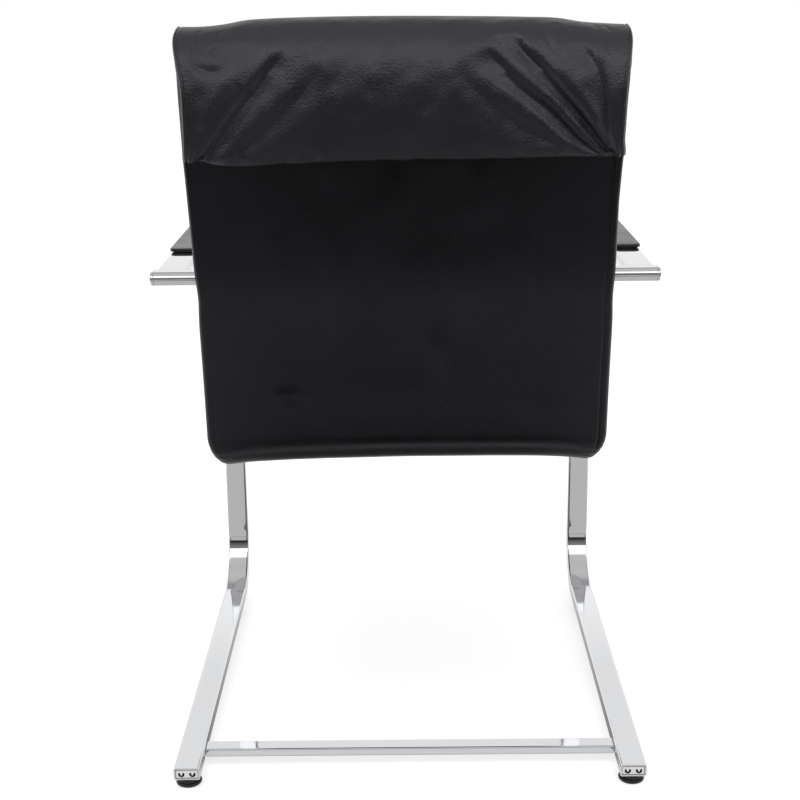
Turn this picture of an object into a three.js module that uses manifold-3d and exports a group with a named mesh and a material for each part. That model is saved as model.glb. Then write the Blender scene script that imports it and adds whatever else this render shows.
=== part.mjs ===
// Cantilever lounge chair: two bent chromed tubes carry a leather covered shell.
// Millimetres, Z up, the sitter faces -Y, origin on the floor in the middle of the outline.

import * as THREE from 'three';
import { mergeVertices } from 'three/addons/utils/BufferGeometryUtils.js';
import Module from 'manifold-3d';

const wasm = await Module();
wasm.setup();

// Whole chair
const overallDepth = 635;
const seatOverhang = 60;
const gap = 0.3;
const overrun = 6;

// Side frames, each one bent rectangular tube
const frameWidth = 543;
const tubeWidth = 30;
const tubeHeight = 15;
const tubeWall = 2;
const tubeCorner = 2.5;
const bendRadius = 70;
const armTop = 590;

// Glides under the runners, with a peg through the lower wall of the tube
const glideHeight = 11;
const glideDiameter = 30;
const glideFoot = 2.5;
const pegDiameter = 8;
const pegReach = 5;
const pegClearance = 0.4;
const frontGlideSetback = 105;
const frontGlideDiameter = 22;

// Inserts in the rear ends of the runners
const plugRecess = 0.8;
const plugClearance = 0.35;
const slotSpacing = 11;
const slotRadius = 2.9;
const tongueRadius = 1.2;
const slotArm = 1.6;

// Cross tube on the floor frame
const floorTubeDepth = 20;
const floorTubeHeight = 10;
const floorTubeWall = 1.5;
const floorTubeCorner = 1.5;
const floorTubeTop = 21;
const floorTubeSetback = 50;

// Cross tube under the seat, with its bolts
const seatTubeDepth = 15;
const seatTubeHeight = 30;
const boltDiameter = 6;
const boltHead = 11;
const boltHeadHeight = 4;
const boltSpacing = 240;

// Flat-oval cross tube through the back
const backTubeOverhang = 5;
const backTubeDepth = 25;
const backTubeHeight = 15;
const backTubeCorner = 7;
const backTubeSetback = 67;
const capThickness = 4;
const capPlug = 14;

// Arm pads, each round a stiff core that the arm's screws bite into
const padSetback = 95.5;
const padFrontSetback = 92;
const padWidth = 34.5;
const padCorner = 8;
const padThickness = 4.5;
const padRound = 1.3;
const coreThickness = 2.8;
const coreInset = 4;
const coreBiteShare = 0.75;
const armScrewInset = 49.5;
const screwDiameter = 5;
const screwHead = 9;
const screwHeadHeight = 3;
const screwClearance = 0.3;

// Back and seat lines of the covered shell
const panelFootSetback = 88;
const panelFootHeight = 391;
const backLean = THREE.MathUtils.degToRad(7.8);
const seatPitch = THREE.MathUtils.degToRad(3);
const undersideHeight = 357;
const coverBend = 45;
const coverSideGap = 15.5;
const coverTopSideGap = 13;
const coverPadding = 13.5;
const coverEdge = 10;
const seatCoverThickness = 8;
const backHeight = 415;

// Moulded plywood shell and the plates that tie it to the back tube
const shellThickness = 12;
const shellBend = 40;
const shellFrontInset = 16;
const plateThickness = 3;
const plateWidth = 50;
const plateHeight = 84;
const plateSpacing = 220;
const plateScrewSpacing = 58;
const plateScrewBite = 9;
const channelClearance = 1;
const pocketClearance = 2;

// Cushions
const seatCushionThickness = 40;
const seatCushionCrown = 14;
const backCushionThickness = 38;
const backCushionCrown = 12;
const cushionSideGap = 13.5;
const cushionDrawIn = 6;
const cushionRearClearance = 12;
const cushionSeam = 18;

// Head flap that wraps over the top of the back
const flapSideGap = 11.5;
const flapHemSideGap = 14;
const flapDrop = 92;
const flapHem = 6;
const flapBulge = 19;
const headRoll = 38;
const flapCrown = 10;
const flapEdge = 6;
const flapSeamDrop = 14;
const pleatDepth = 5.5;
const pleatWidth = 9;

// Places that follow from those sizes
const rearEnd = overallDepth / 2;
const legFront = seatOverhang - overallDepth / 2;
const armUnderside = armTop - tubeHeight;
const sideCentre = (frameWidth - tubeWidth) / 2;
const innerWidth = frameWidth - 2 * tubeWidth;
const backTubeLength = frameWidth + 2 * backTubeOverhang;
const coverWidth = innerWidth - 2 * coverSideGap;
const coverTopWidth = innerWidth - 2 * coverTopSideGap;
const shellWidth = coverWidth - 2 * coverPadding;
const cushionWidth = innerWidth - 2 * cushionSideGap;
const flapWidth = innerWidth - 2 * flapSideGap;
const flapHemWidth = innerWidth - 2 * flapHemSideGap;
const backTubeCentre = new THREE.Vector2(
  rearEnd - backTubeSetback - backTubeDepth / 2,
  armTop - backTubeHeight / 2,
);

// In the plane of the profile: a point of the back panel, the way up it and the way out of it
const panelFoot = new THREE.Vector2(rearEnd - panelFootSetback, panelFootHeight);
const upBack = new THREE.Vector2(Math.sin(backLean), Math.cos(backLean));
const outBack = new THREE.Vector2(Math.cos(backLean), -Math.sin(backLean));
const downOut = new THREE.Vector2(-Math.sin(seatPitch), -Math.cos(seatPitch));
const forward = new THREE.Vector2(-Math.cos(seatPitch), Math.sin(seatPitch));
const backTubeReach = (backTubeDepth / 2 - backTubeCorner) * Math.cos(backLean)
  + (backTubeHeight / 2 - backTubeCorner) * Math.sin(backLean) + backTubeCorner;
const backTubeOut = backTubeCentre.clone().sub(panelFoot).dot(outBack);
const backTubeUp = backTubeCentre.clone().sub(panelFoot).dot(upBack);
const plateFront = backTubeOut - backTubeReach - gap - plateThickness;
const shellRear = plateFront - gap;
const shellFront = shellRear - shellThickness;
const seatShellLow = -seatCoverThickness - gap;
const seatShellHigh = seatShellLow - shellThickness;

const leather = { color: 0x1c1d1f, roughness: 0.42, metalness: 0 };
const chrome = { color: 0xd4d6d9, roughness: 0.08, metalness: 1 };
const steel = { color: 0xa8abb0, roughness: 0.35, metalness: 1 };
const plywood = { color: 0xb98f5f, roughness: 0.6, metalness: 0 };
const blackPlastic = { color: 0x141517, roughness: 0.4, metalness: 0 };
const greyPlastic = { color: 0xc9cbce, roughness: 0.4, metalness: 0 };

const chair = new THREE.Group();

function addPiece(name, geometry, finish) {
  const piece = new THREE.Mesh(geometry, new THREE.MeshStandardMaterial(finish));
  piece.name = name;
  chair.add(piece);
  return piece;
}

// A closed body from points and faces, turned to face outward.
function bodyOf(points, faces) {
  const volume = faces.reduce(
    (sum, [a, b, c]) => sum + points[a].dot(points[b].clone().cross(points[c])),
    0,
  );
  const ordered = volume < 0 ? faces.map(([a, b, c]) => [a, c, b]) : faces;
  const geometry = new THREE.BufferGeometry();
  const values = points.flatMap((point) => point.toArray());
  geometry.setAttribute('position', new THREE.Float32BufferAttribute(values, 3));
  geometry.setIndex(ordered.flat());
  geometry.computeVertexNormals();
  return geometry;
}

// Rings of equal length joined to a skin, with a flat lid on the first and the last.
function loftedBody(rings) {
  const count = rings[0].length;
  const points = rings.flat();
  const faces = [];
  for (let r = 0; r + 1 < rings.length; r += 1) {
    for (let k = 0; k < count; k += 1) {
      const next = (k + 1) % count;
      const [a, b] = [r * count + k, r * count + next];
      faces.push([a, b, b + count], [a, b + count, a + count]);
    }
  }
  const start = (rings.length - 1) * count;
  lidFaces(rings[0]).forEach(([a, b, c]) => faces.push([a, c, b]));
  lidFaces(rings.at(-1)).forEach(([a, b, c]) => faces.push([start + a, start + b, start + c]));
  return bodyOf(points, faces);
}

// Triangles that fill a ring, wound the same way as the ring runs.
function lidFaces(ring) {
  const middle = ring.reduce((sum, point) => sum.add(point), new THREE.Vector3())
    .divideScalar(ring.length);
  const normal = new THREE.Vector3();
  ring.forEach((point, k) => {
    const next = ring[(k + 1) % ring.length];
    normal.add(point.clone().sub(middle).cross(next.clone().sub(middle)));
  });
  normal.normalize();
  const across = ring[1].clone().sub(ring[0]).projectOnPlane(normal).normalize();
  const upward = normal.clone().cross(across);
  const flat = ring.map((point) => new THREE.Vector2(point.dot(across), point.dot(upward)));
  return THREE.ShapeUtils.triangulateShape(flat, []).map(([a, b, c]) => {
    const turn = flat[b].clone().sub(flat[a]).cross(flat[c].clone().sub(flat[a]));
    return turn > 0 ? [a, b, c] : [a, c, b];
  });
}

function solidOf(geometry) {
  const plain = geometry.clone();
  plain.deleteAttribute('normal');
  plain.deleteAttribute('uv');
  const merged = mergeVertices(plain);
  return new wasm.Manifold(new wasm.Mesh({
    numProp: 3,
    vertProperties: merged.getAttribute('position').array,
    triVerts: new Uint32Array(merged.getIndex().array),
  }));
}

function cutAway(geometry, cutters) {
  const cut = cutters.reduce((body, cutter) => body.subtract(solidOf(cutter)), solidOf(geometry));
  const mesh = cut.getMesh();
  const result = new THREE.BufferGeometry();
  result.setAttribute('position', new THREE.BufferAttribute(mesh.vertProperties, 3));
  result.setIndex(new THREE.BufferAttribute(mesh.triVerts, 1));
  result.computeVertexNormals();
  return result;
}

// Straight runs joined by arcs of one radius: each station has a place and a direction.
function bentLine(corners, radius, arcSteps) {
  const stations = [];
  const last = corners.length - 1;
  const direction = (i) => corners[i + 1].clone().sub(corners[i]).normalize();
  stations.push({ at: corners[0].clone(), along: direction(0) });
  for (let i = 1; i < last; i += 1) {
    const before = direction(i - 1);
    const after = direction(i);
    const turn = Math.atan2(before.cross(after), before.dot(after));
    const setback = radius * Math.tan(Math.abs(turn) / 2);
    const start = corners[i].clone().addScaledVector(before, -setback);
    const inward = new THREE.Vector2(-before.y, before.x).multiplyScalar(Math.sign(turn));
    const centre = start.clone().addScaledVector(inward, radius);
    for (let k = 0; k <= arcSteps; k += 1) {
      const angle = turn * k / arcSteps;
      stations.push({
        at: start.clone().rotateAround(centre, angle),
        along: before.clone().rotateAround(new THREE.Vector2(), angle),
      });
    }
  }
  stations.push({ at: corners[last].clone(), along: direction(last - 1) });
  return stations;
}

// A line in the plane X = 0 for a tube to follow, station by station.
class BentPath extends THREE.Curve {
  constructor(stations) {
    super();
    this.stations = stations;
  }

  getSpacedPoints() {
    return this.stations.map(({ at }) => new THREE.Vector3(0, at.x, at.y));
  }

  computeFrenetFrames() {
    const tangents = this.stations.map(({ along }) => new THREE.Vector3(0, along.x, along.y));
    const normals = tangents.map(() => new THREE.Vector3(1, 0, 0));
    const binormals = tangents.map((tangent, i) => tangent.clone().cross(normals[i]));
    return { tangents, normals, binormals };
  }
}

function roundedOutline(width, height, radius, arcSteps) {
  const points = [];
  for (let corner = 0; corner < 4; corner += 1) {
    const sideX = corner === 0 || corner === 3 ? 1 : -1;
    const sideY = corner < 2 ? 1 : -1;
    for (let k = 0; k <= arcSteps; k += 1) {
      const angle = (corner + k / arcSteps) * Math.PI / 2;
      points.push(new THREE.Vector2(
        sideX * (width / 2 - radius) + radius * Math.cos(angle),
        sideY * (height / 2 - radius) + radius * Math.sin(angle),
      ));
    }
  }
  return points;
}

function tubeSection(width, height, corner, wall, arcSteps) {
  const section = new THREE.Shape(roundedOutline(width, height, corner, arcSteps));
  const innerCorner = Math.max(corner - wall, wall / 4);
  const inner = roundedOutline(width - 2 * wall, height - 2 * wall, innerCorner, arcSteps - 1);
  section.holes.push(new THREE.Path(inner));
  return section;
}

// A straight tube along X: its section's width lies along Y and its height along Z.
function crossTube(section, length) {
  const geometry = new THREE.ExtrudeGeometry(section, { depth: length, bevelEnabled: false });
  geometry.translate(0, 0, -length / 2);
  geometry.rotateX(Math.PI / 2);
  geometry.rotateZ(Math.PI / 2);
  return geometry;
}

function uprightRod(diameter, low, high, sides) {
  const geometry = new THREE.CylinderGeometry(diameter / 2, diameter / 2, high - low, sides);
  geometry.rotateX(Math.PI / 2);
  geometry.translate(0, 0, (low + high) / 2);
  return geometry;
}

// A screw or bolt along Z with its head below: low is the underside of the head.
function screwBody(diameter, head, headHeight, shank, sides) {
  const profile = [
    new THREE.Vector2(0, 0),
    new THREE.Vector2(head / 2, 0),
    new THREE.Vector2(head / 2, headHeight),
    new THREE.Vector2(diameter / 2, headHeight),
    new THREE.Vector2(diameter / 2, headHeight + shank),
    new THREE.Vector2(0, headHeight + shank),
  ];
  const geometry = new THREE.LatheGeometry(profile, sides);
  geometry.rotateX(Math.PI / 2);
  return geometry;
}

const glidePlaces = {
  rear: rearEnd - glideDiameter / 2,
  front: legFront + frontGlideSetback,
};
const glideDiameters = { rear: glideDiameter, front: frontGlideDiameter };
const padRear = rearEnd - backTubeSetback - backTubeDepth - padSetback;
const padFront = legFront + padFrontSetback;
const padLength = padRear - padFront;
const padCentre = (padRear + padFront) / 2;
const armScrewPlaces = {
  rear: padRear - armScrewInset,
  front: padFront + armScrewInset,
};
const backTubeOutline = (growth) => roundedOutline(
  backTubeDepth + 2 * growth,
  backTubeHeight + 2 * growth,
  backTubeCorner + growth,
  4,
);

// Side frames: runner, leg and arm in one tube, drilled for the glide pegs and the arm screws.
function sideFrame() {
  const low = glideHeight + tubeHeight / 2;
  const high = armTop - tubeHeight / 2;
  const leg = legFront + tubeHeight / 2;
  const line = bentLine([
    new THREE.Vector2(rearEnd, low),
    new THREE.Vector2(leg, low),
    new THREE.Vector2(leg, high),
    new THREE.Vector2(backTubeCentre.x, high),
  ], bendRadius + tubeHeight / 2, 9);
  const section = tubeSection(tubeWidth, tubeHeight, tubeCorner, tubeWall, 3);
  const tube = new THREE.ExtrudeGeometry(section, {
    steps: line.length - 1,
    extrudePath: new BentPath(line),
  });
  const saddle = crossTube(new THREE.Shape(backTubeOutline(gap)), tubeWidth + 2 * overrun);
  saddle.translate(0, backTubeCentre.x, backTubeCentre.y);
  const pegHoles = Object.values(glidePlaces).map((place) => uprightRod(
    pegDiameter + 2 * pegClearance,
    glideHeight - overrun,
    glideHeight + tubeHeight / 2,
    16,
  ).translate(0, place, 0));
  const screwHoles = Object.values(armScrewPlaces).map((place) => uprightRod(
    screwDiameter + 2 * screwClearance,
    armUnderside - overrun,
    armTop + overrun,
    12,
  ).translate(0, place, 0));
  return cutAway(tube, [saddle, ...pegHoles, ...screwHoles]);
}

// A glide is a turned disc with a chamfered foot and a peg into the tube.
function glide(diameter) {
  const seat = glideHeight - gap;
  const radius = diameter / 2;
  const peg = glideHeight + tubeWall + pegReach;
  const profile = [
    [0, 0],
    [radius - glideFoot, 0],
    [radius, glideFoot],
    [radius, seat],
    [pegDiameter / 2, seat],
    [pegDiameter / 2, peg],
    [0, peg],
  ].map(([x, y]) => new THREE.Vector2(x, y));
  return new THREE.LatheGeometry(profile, 24).rotateX(Math.PI / 2);
}

// A U-shaped slot: half a ring with two short arms upward and a tongue between them.
function slotOutline(centre, arcSteps) {
  const points = [];
  for (let k = 0; k <= arcSteps; k += 1) {
    const angle = Math.PI + Math.PI * k / arcSteps;
    points.push(new THREE.Vector2(Math.cos(angle), Math.sin(angle)).multiplyScalar(slotRadius));
  }
  points.push(new THREE.Vector2(slotRadius, slotArm));
  points.push(new THREE.Vector2(tongueRadius, slotArm));
  for (let k = arcSteps; k >= 0; k -= 1) {
    const angle = Math.PI + Math.PI * k / arcSteps;
    points.push(new THREE.Vector2(Math.cos(angle), Math.sin(angle)).multiplyScalar(tongueRadius));
  }
  points.push(new THREE.Vector2(-tongueRadius, slotArm));
  points.push(new THREE.Vector2(-slotRadius, slotArm));
  return points.map((point) => point.add(centre));
}

// The insert stays a little inside the runner's end and stops short of the glide's peg.
function runnerPlug() {
  const plugLength = (glideDiameter - pegDiameter) / 2 - plugRecess - gap;
  const inner = tubeWall + plugClearance;
  const outline = roundedOutline(tubeWidth - 2 * inner, tubeHeight - 2 * inner, tubeCorner, 2);
  const face = new THREE.Shape(outline);
  for (const side of [-1, 1]) {
    const centre = new THREE.Vector2(side * slotSpacing / 2, 0);
    face.holes.push(new THREE.Path(slotOutline(centre, 6)));
  }
  const plug = new THREE.ExtrudeGeometry(face, { depth: plugLength, bevelEnabled: false });
  plug.rotateX(Math.PI / 2);
  return plug.translate(0, rearEnd - plugRecess, glideHeight + tubeHeight / 2);
}

// A cap over the end of the back tube: a plug inside it and a domed lid.
function tubeCap() {
  const inner = tubeWall + plugClearance;
  const plug = roundedOutline(
    backTubeDepth - 2 * inner,
    backTubeHeight - 2 * inner,
    backTubeCorner - inner,
    4,
  );
  const lid = (inset) => roundedOutline(
    backTubeDepth - 2 * inset,
    backTubeHeight - 2 * inset,
    backTubeCorner - inset,
    4,
  );
  const round = capThickness / 2;
  const steps = [
    [plug, -capPlug],
    [plug, gap],
    [lid(0), gap],
    [lid(0), capThickness - round],
    [lid(round * (1 - Math.cos(Math.PI / 6))), capThickness - round / 2],
    [lid(round * (1 - Math.cos(Math.PI / 3))), capThickness - round * (1 - Math.sin(Math.PI / 3))],
    [lid(round), capThickness],
  ];
  return loftedBody(steps.map(([outline, x]) => outline.map(
    ({ x: y, y: z }) => new THREE.Vector3(x, y, z),
  )));
}

// Plan outlines stacked in height, each one inset from the full outline.
function stackedPlan(width, length, corner, layers) {
  return loftedBody(layers.map(([inset, height]) => roundedOutline(
    width - 2 * inset,
    length - 2 * inset,
    Math.max(corner - inset, corner / 4),
    5,
  ).map(({ x, y }) => new THREE.Vector3(x, y, height))));
}

// The pad's core outline, grown by a clearance, between two heights.
function corePlan(growth, low, high) {
  const inset = coreInset - growth;
  return stackedPlan(padWidth - 2 * inset, padLength - 2 * inset, padCorner - inset, [
    [0, low],
    [0, high],
  ]);
}

function padCore() {
  const holes = Object.values(armScrewPlaces).map((place) => uprightRod(
    screwDiameter + 2 * screwClearance,
    -overrun,
    coreThickness * coreBiteShare + gap,
    12,
  ).translate(0, place - padCentre, 0));
  return cutAway(corePlan(0, 0, coreThickness), holes);
}

// The pad is crowned on top and hollow below, where it closes over its core.
function armPad() {
  const crown = padThickness;
  const pad = stackedPlan(padWidth, padLength, padCorner, [
    [padRound, 0],
    [padRound / 4, padRound / 2],
    [0, padRound],
    [0, crown - 2 * padRound],
    [padRound / 2, crown - padRound],
    [padRound * 2, crown - padRound / 3],
    [padWidth / 4, crown],
  ]);
  return cutAway(pad, [corePlan(gap, -overrun, coreThickness + gap)]);
}

// Profile lines of the shell and its cover, from the top of the back to the front of the seat.
function profileLine(outOfBack, belowSeat, radius, frontInset) {
  const backPoint = panelFoot.clone().addScaledVector(outBack, outOfBack);
  const top = backPoint.clone().addScaledVector(upBack, backHeight);
  const seatPoint = undersidePoint.clone().addScaledVector(downOut, belowSeat);
  const corner = crossing(backPoint, upBack, seatPoint, forward);
  const reach = (corner.x - (frontInset - overallDepth / 2)) / Math.cos(seatPitch);
  const front = corner.clone().addScaledVector(forward, reach);
  return bentLine([top, corner, front], radius, 7);
}

function crossing(pointA, alongA, pointB, alongB) {
  const share = pointB.clone().sub(pointA).cross(alongB) / alongA.cross(alongB);
  return pointA.clone().addScaledVector(alongA, share);
}

// The lowest point of the cover, under its bend.
const undersidePoint = new THREE.Vector2(rearEnd - panelFootSetback - coverBend, undersideHeight);
const outerLine = profileLine(0, 0, coverBend, shellFrontInset);
const innerLine = profileLine(shellRear + gap, seatShellLow + gap, shellBend + gap, shellFrontInset);
const rearLine = profileLine(shellRear, seatShellLow, shellBend, shellFrontInset);
const frontLine = profileLine(shellFront, seatShellHigh, shellBend - shellThickness, shellFrontInset);

// The shell is one bent board.
function seatShell() {
  const outline = [...rearLine, ...[...frontLine].reverse()].map(({ at }) => at);
  const board = new THREE.ExtrudeGeometry(new THREE.Shape(outline), {
    depth: shellWidth,
    bevelEnabled: false,
  });
  board.translate(0, 0, -shellWidth / 2);
  board.rotateX(Math.PI / 2).rotateZ(Math.PI / 2);
  return cutAway(board, [...plateScrewHoles(), ...boltHoles()]);
}

// The cover is a padded skin behind and below the shell, with a lip round each side of it, and
// it widens a little up the back.
function rearCover() {
  const recess = shellWidth / 2 + gap;
  const arcSteps = 4;
  const rings = outerLine.map(({ at: outer }, i) => {
    const inner = innerLine[i].at;
    const lip = frontLine[i].at;
    const half = (i === 0 ? coverTopWidth : coverWidth) / 2;
    const out = outer.clone().sub(inner).normalize();
    const edge = Math.min(coverEdge, outer.distanceTo(lip) / 2);
    const place = (x, point, depth) => {
      const { x: y, y: z } = point.clone().addScaledVector(out, -depth);
      return new THREE.Vector3(x, y, z);
    };
    const rightEdge = [];
    for (let k = 0; k <= arcSteps; k += 1) {
      const angle = k / arcSteps * Math.PI / 2;
      const x = half - edge * (1 - Math.cos(angle));
      rightEdge.push(place(x, outer, edge * (1 - Math.sin(angle))));
    }
    const leftEdge = rightEdge.map((point) => point.clone().setX(-point.x)).reverse();
    return [
      place(recess, inner, 0),
      place(recess, lip, 0),
      place(half, lip, 0),
      ...rightEdge,
      ...leftEdge,
      place(-half, lip, 0),
      place(-recess, lip, 0),
      place(-recess, inner, 0),
    ];
  });
  return cutAway(loftedBody(rings), [...tubeChannel(), ...platePockets(), ...boltHoles()]);
}

// Turns a body built with Z out of the back and Y up the back to its place there.
function placeOnBack(geometry, x, up, out) {
  const origin = panelFoot.clone().addScaledVector(upBack, up).addScaledVector(outBack, out);
  const turn = new THREE.Matrix4().makeBasis(
    new THREE.Vector3(-1, 0, 0),
    new THREE.Vector3(0, upBack.x, upBack.y),
    new THREE.Vector3(0, outBack.x, outBack.y),
  );
  turn.setPosition(x, origin.x, origin.y);
  return geometry.applyMatrix4(turn);
}

// The back tube lies in a channel that opens to the shell.
function tubeChannel() {
  const length = coverTopWidth + 2 * overrun;
  const round = crossTube(new THREE.Shape(backTubeOutline(channelClearance)), length);
  round.translate(0, backTubeCentre.x, backTubeCentre.y);
  const depth = shellRear - overrun - backTubeOut;
  const mouth = new THREE.BoxGeometry(shellWidth, backTubeHeight + 2 * channelClearance, -depth);
  mouth.translate(0, 0, depth / 2);
  return [round, placeOnBack(mouth, 0, backTubeUp, backTubeOut)];
}

const plateSides = { left: 1, right: -1 };
const screwRows = { upper: 1, lower: -1 };

function platePockets() {
  const depth = plateThickness + screwHeadHeight + pocketClearance;
  return Object.values(plateSides).map((side) => {
    const pocket = new THREE.BoxGeometry(
      plateWidth + 2 * pocketClearance,
      plateHeight + 2 * pocketClearance,
      depth + overrun,
    );
    const out = plateFront + (depth - overrun) / 2;
    return placeOnBack(pocket, side * plateSpacing / 2, backTubeUp, out);
  });
}

function carrierPlate() {
  const outline = new THREE.Shape(roundedOutline(plateWidth, plateHeight, plateWidth / 8, 3));
  for (const row of Object.values(screwRows)) {
    const hole = new THREE.Path();
    const radius = screwDiameter / 2 + screwClearance;
    const ring = Array.from({ length: 12 }, (_, k) => new THREE.Vector2(
      radius * Math.cos(k * Math.PI / 6),
      row * plateScrewSpacing / 2 + radius * Math.sin(k * Math.PI / 6),
    ));
    hole.setFromPoints(ring);
    outline.holes.push(hole);
  }
  return new THREE.ExtrudeGeometry(outline, { depth: plateThickness, bevelEnabled: false });
}

function plateScrew() {
  const shank = plateThickness + 2 * gap + plateScrewBite;
  return screwBody(screwDiameter, screwHead, screwHeadHeight, shank, 12).rotateX(Math.PI);
}

function plateScrewHoles() {
  const holes = [];
  for (const side of Object.values(plateSides)) {
    for (const row of Object.values(screwRows)) {
      const depth = plateScrewBite + gap;
      const rod = uprightRod(screwDiameter + 2 * screwClearance, -depth, overrun, 12);
      const up = backTubeUp + row * plateScrewSpacing / 2;
      holes.push(placeOnBack(rod, side * plateSpacing / 2, up, shellRear));
    }
  }
  return holes;
}

// Under the seat: the cross tube, and the bolts that go up through it into the shell.
const seatTubeY = legFront + tubeHeight / 2;
const undersideAt = (y) => undersidePoint.y + (undersidePoint.x - y) * Math.tan(seatPitch);
const seatTubeTop = undersideAt(seatTubeY + seatTubeDepth / 2) - gap;
const boltTip = undersideAt(seatTubeY) + (seatCoverThickness + shellThickness * 3 / 4)
  / Math.cos(seatPitch);
const boltLow = seatTubeTop - seatTubeHeight - gap - boltHeadHeight;

function boltHoles() {
  return Object.values(plateSides).map((side) => uprightRod(
    boltDiameter + 2 * screwClearance,
    boltLow,
    boltTip + gap,
    12,
  ).translate(side * boltSpacing / 2, seatTubeY, 0));
}

function seatTube() {
  const section = tubeSection(seatTubeDepth, seatTubeHeight, tubeCorner, tubeWall, 2);
  const tube = crossTube(section, innerWidth - 2 * gap);
  tube.translate(0, seatTubeY, seatTubeTop - seatTubeHeight / 2);
  return cutAway(tube, boltHoles());
}

// A crowned cushion: an upper and a lower skin that meet in the seam round its sides.
// Its length runs along Y, its thickness along Z and its lower face lies on Z = 0.
function cushionBody({ width, length, thickness, crown }) {
  const columns = 22;
  const rows = 20;
  const cornerShare = 0.09;
  const cornerPower = 8;
  const edgePower = 24;
  const points = [];
  const indices = { top: [], bottom: [] };
  const spread = (k, count) => Math.sin((2 * k / count - 1) * Math.PI / 2);
  for (let r = 0; r <= rows; r += 1) {
    for (let c = 0; c <= columns; c += 1) {
      const a = spread(c, columns);
      const b = spread(r, rows);
      const halfWidth = width / 2 - cushionDrawIn * (1 - b ** 2);
      const x = a * halfWidth * Math.sqrt(1 - cornerShare * b ** cornerPower);
      const y = b * length / 2 * Math.sqrt(1 - cornerShare * a ** cornerPower);
      const full = Math.sqrt(Math.max(0, (1 - a ** edgePower) * (1 - b ** edgePower)));
      const rise = thickness - cushionSeam + crown * (1 - a ** 2) * (1 - b ** 4);
      const onSeam = r === 0 || c === 0 || r === rows || c === columns;
      indices.top.push(points.length);
      points.push(new THREE.Vector3(x, y, cushionSeam + rise * full));
      if (onSeam) {
        indices.bottom.push(points.length - 1);
      } else {
        indices.bottom.push(points.length);
        points.push(new THREE.Vector3(x, y, cushionSeam * (1 - full)));
      }
    }
  }
  const faces = [];
  const across = columns + 1;
  for (let r = 0; r < rows; r += 1) {
    for (let c = 0; c < columns; c += 1) {
      const k = r * across + c;
      const quad = [k, k + 1, k + 1 + across, k + across];
      const [a, b, d, e] = quad.map((i) => indices.top[i]);
      faces.push([a, b, d], [a, d, e]);
      const [f, g, h, i] = quad.map((j) => indices.bottom[j]);
      faces.push([f, h, g], [f, i, h]);
    }
  }
  return bodyOf(points, faces);
}

const seatSurface = profileLine(shellFront, seatShellHigh, shellBend - shellThickness, 0);
const seatCorner = crossing(
  panelFoot.clone().addScaledVector(outBack, shellFront),
  upBack,
  undersidePoint.clone().addScaledVector(downOut, seatShellHigh),
  forward,
);

function seatCushion() {
  const nose = (cushionSeam + gap) * Math.tan(seatPitch);
  const front = seatSurface.at(-1).at.clone().addScaledVector(forward, nose);
  const length = front.distanceTo(seatCorner) - cushionRearClearance;
  const cushion = cushionBody({
    width: cushionWidth,
    length,
    thickness: seatCushionThickness,
    crown: seatCushionCrown,
  });
  const middle = front.addScaledVector(forward, -length / 2).addScaledVector(downOut, -gap);
  const turn = new THREE.Matrix4().makeBasis(
    new THREE.Vector3(1, 0, 0),
    new THREE.Vector3(0, -forward.x, -forward.y),
    new THREE.Vector3(0, -downOut.x, -downOut.y),
  );
  turn.setPosition(0, middle.x, middle.y);
  return cushion.applyMatrix4(turn);
}

// The back cushion stands on the seat cushion and ends at the seam of the head flap.
const seatTopOnBack = seatCorner.clone()
  .addScaledVector(downOut, -(seatCushionThickness + seatCushionCrown / 4))
  .sub(panelFoot).dot(upBack);
const flapSeam = backHeight - flapSeamDrop;

function backCushion() {
  const low = seatTopOnBack;
  const high = flapSeam - gap;
  const cushion = cushionBody({
    width: cushionWidth,
    length: high - low,
    thickness: backCushionThickness,
    crown: backCushionCrown,
  });
  cushion.rotateY(Math.PI);
  return placeOnBack(cushion, 0, (low + high) / 2, shellFront - gap);
}

// Creases that run up from the lower corners of the flap: where each ends and starts, as shares
// of the half width and of the height, and how deep it is. Positive is the sitter's left.
const pleatShares = [
  [0.90, 0.02, 0.50, 0.84, 1.0],
  [0.92, 0.70, 0.71, 0.86, 0.8],
  [0.70, 0.08, 0.34, 0.64, 0.5],
  [-0.93, 0.02, -0.34, 0.86, 0.9],
  [-0.93, 0.03, -0.48, 0.92, 1.0],
  [-0.94, 0.06, -0.76, 0.88, 0.8],
];

const flapHeight = flapDrop + headRoll;

// How far the creases draw the flap in at a place given as shares of half width and height.
function pleatDraw(a, b) {
  const halfWidth = flapWidth / 2;
  const fadeStartShare = 0.15;
  const fadeEndShare = 0.9;
  const place = new THREE.Vector2(a * halfWidth, b * flapHeight);
  return pleatShares.reduce((most, [endA, endB, startA, startB, depthShare]) => {
    const end = new THREE.Vector2(endA * halfWidth, endB * flapHeight);
    const start = new THREE.Vector2(startA * halfWidth, startB * flapHeight);
    const run = start.clone().sub(end);
    const share = THREE.MathUtils.clamp(place.clone().sub(end).dot(run) / run.lengthSq(), 0, 1);
    const off = place.distanceTo(end.addScaledVector(run, share)) / pleatWidth;
    const fade = Math.sin(Math.PI * THREE.MathUtils.lerp(fadeStartShare, fadeEndShare, share));
    return Math.max(most, depthShare * pleatDepth * fade * Math.exp(-(off ** 2)));
  }, 0);
}

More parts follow.
